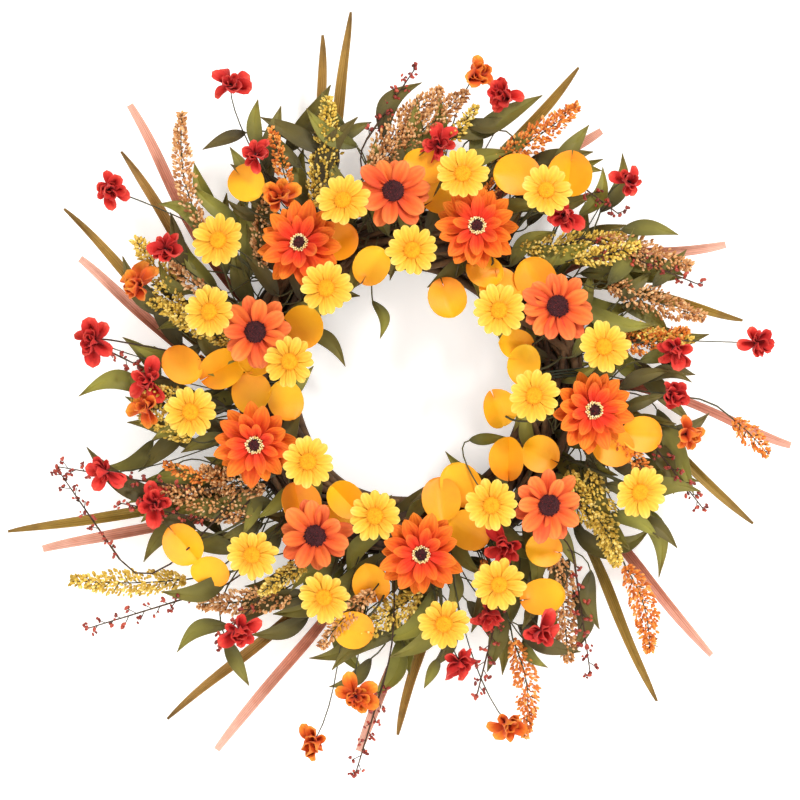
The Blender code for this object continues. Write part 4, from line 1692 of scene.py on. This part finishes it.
@dataclass
class SeedPicks:
    """Seed plumes and berry twigs: a bent stem crowded with foam grains or hung with berries."""

    grain_width: float = 2.2 * MM
    grain_length: float = 3.5 * MM
    fillers: int = 16
    berry: float = 3.4 * MM
    stem_radius: float = 0.7 * MM
    plumes: tuple = ()
    twigs: tuple = ()

    def plume(
        self, name: str, ends: Ends, paint: Paint, reach: float, depth: float, node: str,
        frame: WreathFrame, trees: Trees, kit: Pressings, maker: Maker,
    ) -> None:
        """Makes one plume.

        Args:
            name: The piece's name.
            ends: Clock and mm beyond of its foot, then of its tip.
            paint: The colour of its grains.
            reach: How far the grains stand from the stem, in mm.
            depth: In front of the door, in mm.
            node: The CAD node of its spray.
            frame: The wreath's places.
            trees: The geometry trees.
            kit: The pressings that they copy.
            maker: Where the piece goes.
        """
        rng = random.Random(name)
        depth = frame.depth_by_loop(ends[0], depth)
        start = frame.at(ends[0], ends[1], depth)
        end = frame.at(ends[2], ends[3], depth + rng.uniform(-6, 8))
        foot = frame.rim(ends[0], frame.lean_by_loop(ends[0], 14))
        out = foot - frame.at(ends[0], 0, frame.back / MM)
        along = end - start
        sag = along.normalized().cross(FRONT) * rng.uniform(-0.1, 0.1) * along.length
        line = [start.lerp(end, i / 12) + sag * math.sin(math.pi * i / 12) for i in range(13)]
        mesh = bpy.data.meshes.new(name + "_line")
        mesh.from_pydata([tuple(p) for p in line], [(i, i + 1) for i in range(12)], [])
        grain = kit.grain(f"grain_{paint.value}", self.grain_width, self.grain_length, paint.finish)
        shell = Shell()
        shell.tube(bend(foot, out, start, along, 8), self.stem_radius, 0.4, TAPED_WIRE)
        shell.tube(line, np.linspace(self.stem_radius, self.stem_radius * 0.5, len(line)), 0.4, TAPED_WIRE)
        for i in range(1, 12):
            away = along.cross(FRONT).normalized() * rng.uniform(-1, 1) + FRONT * rng.uniform(-0.6, 1)
            side = line[i] + (away.normalized() + along.normalized() * 0.6) * reach * 0.75 * MM
            shell.tube([line[i], line[i].lerp(side, 0.5), side], 0.4 * MM, 0.4, TAPED_WIRE, 4)
        stem = scratch(name + "_stem", shell.mesh(name + "_stem"), toned=True)
        values = {
            "Stem": stem,
            "Grain": grain,
            "Grains": int(along.length / MM * reach * 0.85),
            "Reach": reach * MM,
            "Core": 1.0 * MM,
            "Tip": 0.22,
            "Size": 1.0,
            "Seed": rng.randint(0, 9999),
            "Material": paint.finish.material(),
        }
        made = grown(name, mesh, [(trees.plume, values)])
        bpy.data.objects.remove(stem)
        maker.piece(name, made, "green_foliage", node)

    def twig(
        self, name: str, ends: Ends, depth: float, node: str, frame: WreathFrame, maker: Maker
    ) -> None:
        """Makes one berry twig: a main wire with side stalks that end in small bunches.

        Args:
            name: The piece's name.
            ends: Clock and mm beyond of its foot, then of its tip.
            depth: In front of the door, in mm.
            node: The CAD node that it stands for.
            frame: The wreath's places.
            maker: Where the pieces go.
        """
        rng = random.Random(name)
        start = frame.at(ends[0], ends[1], depth)
        end = frame.at(ends[2], ends[3], depth + rng.uniform(-4, 6))
        foot = frame.rim(ends[0], 40)
        out = foot - frame.at(ends[0], 0, frame.back / MM)
        along = end - start
        shell = Shell()
        shell.tube(bend(foot, out, start, along, 8), self.stem_radius, 0.1, VINE_BARK)
        line = [start.lerp(end, i / 6) for i in range(7)]
        shell.tube(line, np.linspace(0.9, 0.5, 7) * MM, 0.35, VINE_BARK)
        side_way = along.normalized().cross(FRONT)
        stalks = max(4, int(along.length / (6 * MM)))
        for i in range(stalks):
            base = start.lerp(end, (i + 0.6) / stalks)
            away = side_way * (1 if i % 2 else -1) * rng.uniform(0.5, 1) + FRONT * rng.uniform(0, 0.8)
            away = (away + along.normalized() * 0.8).normalized()
            tip = base + away * rng.uniform(3, 8) * MM
            shell.tube([base, base.lerp(tip, 0.5) + FRONT * 0.5 * MM, tip], 0.4 * MM, 0.1, VINE_BARK, 4)
            for _ in range(rng.randint(3, 5)):
                spot = tip + Vector([rng.uniform(-1, 1) for _ in range(3)]) * self.berry * 0.7
                self.bead(shell, spot, self.berry * rng.uniform(0.6, 1.0), rng)
        self.bead(shell, end, self.berry, rng)
        maker.piece(name, shell.mesh(name), "red_blossoms", node)

    def bead(self, shell: Shell, place: Vector, size: float, rng: random.Random) -> None:
        """Adds one round berry with a turned body.

        Args:
            shell: What it joins.
            place: Where it is.
            size: How wide it is.
            rng: Where its chances come from.
        """
        angles = [math.pi * k / 6 for k in range(7)]
        profile = [(max(0.04, math.sin(a)) * size * 0.42, -math.cos(a) * size * 0.65) for a in angles]
        ahead = Vector([rng.uniform(-1, 1) for _ in range(3)]).normalized()
        shell.turned(profile, turned_frame(place, ahead), rng.random(), BERRY_GLAZE, 8)

    def filler_plumes(self) -> list[tuple]:
        """Short slender plumes that crowd between the blooms, spread by the golden angle.

        Returns:
            Rows as for the plumes that are listed.
        """
        rng = random.Random(23)
        plumes = []
        for k in range(self.fillers):
            clock, beyond = k * 137.508 % 360, rng.uniform(22, 60)
            ends = (clock, beyond, clock + rng.uniform(0, 14), beyond + rng.uniform(34, 52))
            plumes.append((ends, rng.choice(list(Paint)), rng.uniform(4, 6), rng.uniform(48, 62)))
        return plumes

    def make(self, frame: WreathFrame, trees: Trees, kit: Pressings, maker: Maker) -> None:
        """Makes every plume and twig.

        Args:
            frame: The wreath's places.
            trees: The geometry trees.
            kit: The pressings that they copy.
            maker: Where the pieces go.
        """
        for number, row in enumerate((*self.plumes, *self.filler_plumes()), 1):
            node = nearest_pick("foliage_spray", row[0][0])
            self.plume(f"seed_plume_{number:02d}", *row, node, frame, trees, kit, maker)
        for number, ends in enumerate(self.twigs, 1):
            node = nearest_pick("blossom_spray", ends[0])
            self.twig(f"berry_twig_{number:02d}", ends, 50 + number % 3 * 3, node, frame, maker)


@dataclass
class BlossomPicks:
    """Small crinkled blossoms on thin wires, in two dyes."""

    stem_radius: float = 0.5 * MM
    places: tuple = ()

    def make(self, frame: WreathFrame, trees: Trees, kit: Pressings, maker: Maker) -> None:
        """Makes each blossom as one piece.

        Args:
            frame: The wreath's places.
            trees: The geometry trees.
            kit: The pressings that they copy.
            maker: Where the pieces go.
        """
        outer = Petal(15 * MM, 9.5 * MM, 0.3, 0, 0.45, 0.1, 0.3, 0.1, 7, 5)
        inner = Petal(11 * MM, 7.5 * MM, 0.3, 0, 0.5, 0.3, 0.3, 0.1, 7, 5)
        for number, (clock, beyond, cloth) in enumerate(self.places, 1):
            rng = random.Random(300 + number)
            name = f"small_blossom_{number:02d}"
            node = nearest_pick("blossom_spray", clock)
            place = frame.at(clock, beyond, rng.uniform(58, 65))
            tilt = Vector((rng.uniform(-0.5, 0.5), 0, rng.uniform(-0.5, 0.5)))
            ahead = (FRONT + frame.radial(clock) * 0.4 + tilt).normalized()
            head = turned_frame(place, ahead, rng.uniform(0, 6))
            into = head.inverted()
            foot = frame.rim(clock + rng.uniform(-4, 4), 42)
            out = foot - frame.at(clock, 0, frame.back / MM)
            shell = Shell()
            shell.tube([into @ p for p in bend(foot, out, place, ahead)], self.stem_radius, 0.2, TAPED_WIRE)
            bud = [(0.6 * MM, -2 * MM), (1.6 * MM, 0), (2.2 * MM, 2.0 * MM), (0.6 * MM, 3.6 * MM)]
            shell.turned(bud, Matrix.Identity(4), 0.2, MAROON_FLOCK, 8)
            steps = []
            layers = ((outer, 6, 0.5, 12), (inner, 7, 1.8, 44))
            for layer, (petal, count, lift, lean) in enumerate(layers):
                values = {
                    "Petal": kit.petal(f"{cloth.name}_blossom_{layer}", petal, cloth, layer),
                    "Petals": count,
                    "Hub": 1.2 * MM,
                    "Lift": lift * MM,
                    "Tilt": math.radians(lean),
                    "Unevenness": 0.7,
                    "Size": rng.uniform(0.85, 1.1),
                    "Phase": layer * 0.5,
                    "Tone": 0.3 + 0.4 * layer,
                    "Seed": number * 7 + layer,
                    "Material": cloth.material(),
                }
                steps.append((trees.whorl, values))
            mesh = grown(name, shell.mesh(name + "_base"), steps)
            mesh.transform(head)
            maker.piece(name, mesh, "red_blossoms", node)


# ---------------------------------------------------------------- ring and hanger


@dataclass
class BoundRing:
    """The ring of wound vines, the wires that bind it, and its hanger."""

    vines: int = 46
    vine_radius: float = 3.4 * MM
    wire_radius: float = 1.0 * MM
    binding_clocks: tuple[float, ...] = (86, 270)

    def make(self, frame: WreathFrame, trees: Trees, maker: Maker) -> None:
        """Makes the vines and the binding wires, and finishes the hanger's own wires.

        Args:
            frame: The wreath's places.
            trees: The geometry trees.
            maker: Where the pieces go.
        """
        base = bpy.data.meshes.new("vines_base")
        values = {
            "Vines": self.vines,
            "Ring": frame.ring,
            "Bundle": frame.bundle - self.vine_radius,
            "Back": frame.back,
            "Thickness": self.vine_radius,
            "Seed": 7,
            "Material": VINE_BARK.material(),
        }
        mesh = grown("vines", base, [(trees.vines, values)])
        upright = Matrix.Rotation(math.pi / 2, 4, "X")
        middle = Matrix.Translation((frame.centre.x, frame.door - frame.back, frame.centre.z))
        mesh.transform(middle @ upright)
        maker.piece("wound_vines", mesh, "vine", "vine_ring")
        for number, clock in enumerate(self.binding_clocks, 1):
            shell = Shell()
            shell.tube(self.binding(frame, clock), self.wire_radius, 0.4, PAINTED_STEEL, 8)
            name = f"binding_{number}"
            maker.piece(name, shell.mesh(name), "wire", f"binding_wire_{number}")
        for node in ("hanger_loop", "hanger_anchor"):
            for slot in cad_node(node).material_slots:
                slot.material = PAINTED_STEEL.material()

    def binding(self, frame: WreathFrame, clock: float) -> list[Vector]:
        """Three turns of wire round the bundle, pulled flat at the back.

        Args:
            frame: The wreath's places.
            clock: Clock angle in degrees.

        Returns:
            The points of the wire.
        """
        out = frame.radial(clock)
        along = out.cross(FRONT)
        centre = frame.at(clock, 0, frame.back / MM)
        points = []
        for k in range(3 * 36 + 1):
            turn = FULL_TURN * k / 36
            reach = frame.bundle + 0.2 * MM
            back = min(-math.sin(turn) * reach, frame.back - self.wire_radius)
            shift = along * (k / 36 - 1.5) * 2.3 * self.wire_radius
            points.append(centre + out * math.cos(turn) * reach - FRONT * back + shift)
        return points


# ---------------------------------------------------------------- studio


@dataclass
class Studio:
    """A white wall close behind, a pale floor, soft light from the upper right, and the camera."""

    distance: float = 2.1
    width: float = 0.612  # across the view, at the heads
    heads: float = 55 * MM  # in front of the door
    aim_x: float = -7.7 * MM
    aim_z: float = -11.5 * MM

    def make(self, frame: WreathFrame) -> None:
        """Makes the stage, the lights and the camera.

        Args:
            frame: The wreath's places.
        """
        scene = bpy.context.scene
        scene.view_settings.view_transform = "Standard"
        world = bpy.data.worlds.new("studio_air")
        world.use_nodes = True
        world.node_tree.nodes["Background"].inputs["Color"].default_value = linear("FFFDFA")
        world.node_tree.nodes["Background"].inputs["Strength"].default_value = 0.55
        scene.world = world
        aim = Vector((frame.centre.x + self.aim_x, frame.door - self.heads, frame.centre.z + self.aim_z))
        camera = bpy.data.objects.new("camera", bpy.data.cameras.new("camera"))
        camera.data.sensor_width = 36
        camera.data.lens = 36 * self.distance / self.width
        camera.location = aim + FRONT * self.distance
        camera.rotation_euler = (math.pi / 2, 0, 0)
        scene.collection.objects.link(camera)
        scene.camera = camera
        self.light("key", aim + Vector((0.9, -1.5, 1.2)), aim, 0.5, 30)
        self.light("fill", aim + Vector((-1.3, -1.6, 0.2)), aim, 1.4, 10)
        wall = frame.door + 2 * MM
        floor = frame.centre.z - 0.47
        self.sheet("wall", ((-2, wall, floor), (2, wall, floor), (2, wall, 1.6), (-2, wall, 1.6)))
        self.sheet("floor", ((-2, -3, floor), (2, -3, floor), (2, wall, floor), (-2, wall, floor)))

    def light(self, name: str, place: Vector, aim: Vector, size: float, power: float) -> None:
        """Adds a square area light that looks at a point.

        Args:
            name: The piece's name.
            place: Where it is.
            aim: What it looks at.
            size: How wide it is.
            power: In watts.
        """
        data = bpy.data.lights.new(name, "AREA")
        data.size = size
        data.energy = power
        lamp = bpy.data.objects.new(name, data)
        lamp.location = place
        lamp.rotation_euler = (aim - place).to_track_quat("-Z", "Y").to_euler()
        bpy.context.scene.collection.objects.link(lamp)

    def sheet(self, name: str, corners: tuple) -> None:
        """Adds a stage sheet that can't be seen from behind.

        Args:
            name: The piece's name.
            corners: Its four corners in order.
        """
        mesh = bpy.data.meshes.new(name)
        mesh.from_pydata(corners, [], [(0, 1, 2, 3)])
        paint = bpy.data.materials.new(name + "_paint")
        paint.use_nodes = True
        graph = Graph(paint.node_tree)
        shader = paint.node_tree.nodes["Principled BSDF"]
        shader.inputs["Base Color"].default_value = linear("FAFAF8")
        shader.inputs["Roughness"].default_value = 0.9
        shader.inputs["Emission Color"].default_value = linear("FFFFFF")
        shader.inputs["Emission Strength"].default_value = 0.34
        behind = graph.out("ShaderNodeNewGeometry", name="Backfacing")
        clear = graph.out("ShaderNodeBsdfTransparent")
        both = graph.out("ShaderNodeMixShader", None, {0: behind, 1: shader.outputs["BSDF"], 2: clear})
        graph.tree.links.new(both, paint.node_tree.nodes["Material Output"].inputs["Surface"])
        mesh.materials.append(paint)
        obj = bpy.data.objects.new(name, mesh)
        bpy.context.scene.collection.objects.link(obj)


# ---------------------------------------------------------------- what goes where

# Grass pairs: clock angle of the socket, then each tip's clock, mm beyond, depth and cloth.
GRASS = (
    (334, ((351, 180, 34, OLIVE_GRASS_CLOTH), (346, 168, 26, OLIVE_GRASS_CLOTH))),
    (295, ((315, 194, 36, BLUSH_GRASS_CLOTH), (309, 176, 27, OLIVE_GRASS_CLOTH))),
    (275, ((297, 188, 35, OLIVE_GRASS_CLOTH), (291, 162, 26, BLUSH_GRASS_CLOTH))),
    (236, ((250, 219, 32, OLIVE_GRASS_CLOTH), (246, 200, 24, BLUSH_GRASS_CLOTH))),
    (199, ((216, 207, 34, OLIVE_GRASS_CLOTH), (208, 208, 26, BLUSH_GRASS_CLOTH))),
    (174, ((188, 174, 30, BLUSH_GRASS_CLOTH), (182, 160, 22, OLIVE_GRASS_CLOTH))),
    (126, ((142, 198, 34, OLIVE_GRASS_CLOTH), (132, 202, 25, BLUSH_GRASS_CLOTH))),
    (90, ((112, 174, 34, OLIVE_GRASS_CLOTH), (99, 187, 26, BLUSH_GRASS_CLOTH))),
    (54, ((79, 150, 34, OLIVE_GRASS_CLOTH), (66, 156, 27, BLUSH_GRASS_CLOTH))),
    (20, ((37, 134, 34, BLUSH_GRASS_CLOTH), (28, 167, 27, OLIVE_GRASS_CLOTH))),
)

# Golden leaves: clock angle and mm beyond of each middle.
GOLDEN_LEAVES = (
    (321, 87), (334, 11), (342, -16), (298, -19), (275, 63), (275, 33), (267, 9), (23, -40), (33, -9),
    (69, -26), (4, 55), (27, 68), (37, 91), (50, 14), (80, -24), (105, -42), (127, -18), (118, 1),
    (107, 50), (102, 69), (165, -21), (158, 8), (141, 50), (148, 79), (191, 43), (193, 79), (235, 99),
    (227, 97), (223, 13), (209, -11), (10, 36), (342, 33), (153, -26), (263, -16), (210, 11), (281, 4),
    (43, -12), (95, 34),
)

# Olive leaves: clock angle and mm beyond of the foot, then of the tip.
GREEN_LEAVES = (
    (327, 120, 319, 132), (327, 102, 332, 137), (334, 81, 328, 100), (344, 83, 352, 91), (19, 95, 7, 81),
    (308, -6, 314, 31), (297, -18, 286, -60), (336, -41, 326, -69), (45, 72, 41, 111), (141, -12, 155, -51),
    (133, -50, 118, -27), (118, 84, 110, 125), (118, 75, 128, 132), (75, -5, 83, 28), (68, 61, 65, 95),
    (217, 120, 221, 161), (216, 130, 208, 150), (236, 86, 248, 103),
    (268, 87, 268, 143), (188, 101, 195, 129),
    (182, 83, 187, 131), (156, 102, 154, 130), (290, 83, 291, 101), (296, 54, 302, 96), (35, 89, 42, 110),
    (201, 39, 210, 70), (11, 94, 22, 113), (174, 100, 177, 122), (84, 65, 85, 103), (260, 47, 258, 91),
)

# Seed plumes: foot and tip, paint, reach of the grains and depth, both in mm.
PLUMES = (
    ((306, 82, 320, 160), Paint.TAN, 6, 44), ((308, 31, 323, 70), Paint.TAN, 5, 48),
    ((331, 45, 344, 117), Paint.STRAW, 9, 46), ((349, 52, 366, 116), Paint.TAN, 10, 44),
    ((358, 68, 371, 116), Paint.TAN, 8, 40), ((21, 72, 31, 138), Paint.RUST, 8, 44),
    ((38, 24, 55, 89), Paint.STRAW, 9, 48), ((52, 73, 67, 122), Paint.TAN, 9, 44),
    ((63, 59, 77, 120), Paint.TAN, 9, 42), ((78, 49, 79, 106), Paint.RUST, 8, 46),
    ((96, 138, 101, 168), Paint.RUST, 6, 44), ((115, 40, 131, 98), Paint.STRAW, 9, 44),
    ((118, 27, 127, 71), Paint.STRAW, 8, 50), ((130, 104, 138, 164), Paint.RUST, 8, 44),
    ((139, 64, 150, 133), Paint.TAN, 9, 44), ((158, 99, 162, 173), Paint.RUST, 7, 42),
    ((177, 47, 194, 89), Paint.STRAW, 9, 48), ((209, 76, 224, 122), Paint.TAN, 8, 44),
    ((229, 116, 240, 189), Paint.STRAW, 8, 42), ((230, 43, 247, 93), Paint.TAN, 10, 46),
    ((234, 25, 248, 61), Paint.TAN, 8, 52), ((256, 61, 266, 103), Paint.STRAW, 8, 46),
    ((285, 71, 298, 128), Paint.STRAW, 9, 46), ((283, 25, 288, 97), Paint.STRAW, 8, 50),
)

# Berry twigs: foot and tip.
TWIGS = (
    (350, 79, 361, 131), (244, 71, 257, 165), (224, 107, 233, 198), (157, 66, 168, 132), (137, 72, 148, 148),
    (185, 114, 188, 190), (103, 76, 113, 133), (236, 73, 248, 128), (51, 65, 71, 123), (215, 89, 217, 134),
    (239, 147, 256, 164), (35, 89, 51, 95), (277, 127, 273, 87),
)

# Small blossoms: clock angle and mm beyond.
RED_BLOSSOMS = (
    (329, 154), (326, 98), (303, 162), (299, 100), (278, 132), (271, 87), (254, 128), (215, 116), (18, 120),
    (7, 72), (42, 62), (47, 115), (83, 153), (82, 92), (161, 71), (170, 101), (152, 99), (149, 30),
    (245, 102), (92, 87),
)
AMBER_BLOSSOMS = (
    (290, 108), (12, 129), (100, 102), (190, 129), (195, 169), (265, 89), (164, 156), (325, 61),
)


def main() -> None:
    """Makes the wreath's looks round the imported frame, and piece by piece."""
    logging.basicConfig(level=logging.INFO, format="%(name)s: %(message)s")
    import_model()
    frame, trees, kit, maker = WreathFrame(), Trees(), Pressings(), Maker()
    Studio().make(frame)
    BoundRing().make(frame, trees, maker)
    kinds = ((DAISY, "daisy_{:02d}", 20), (GERBERA, "gerbera_{}", 5), (ZINNIA, "zinnia_{}", 5))
    for kind, style, count in kinds:
        for number in range(1, count + 1):
            kind.make(style.format(number), number + 40 * count, frame, trees, kit, maker)
    leaves = LeafPicks(golden=GOLDEN_LEAVES, green=GREEN_LEAVES)
    leaves.make_golden(frame, maker)
    leaves.make_green(frame, maker)
    GrassPicks(tips=GRASS).make(frame, maker)
    SeedPicks(plumes=PLUMES, twigs=TWIGS).make(frame, trees, kit, maker)
    blossoms = [(*place, SCARLET_CLOTH) for place in RED_BLOSSOMS]
    blossoms += [(*place, AMBER_CLOTH) for place in AMBER_BLOSSOMS]
    BlossomPicks(places=tuple(blossoms)).make(frame, trees, kit, maker)
    kit.clear()
    LOG.info("%d pieces, %d triangles", maker.pieces, maker.triangles)


if __name__ == "__main__":
    main()
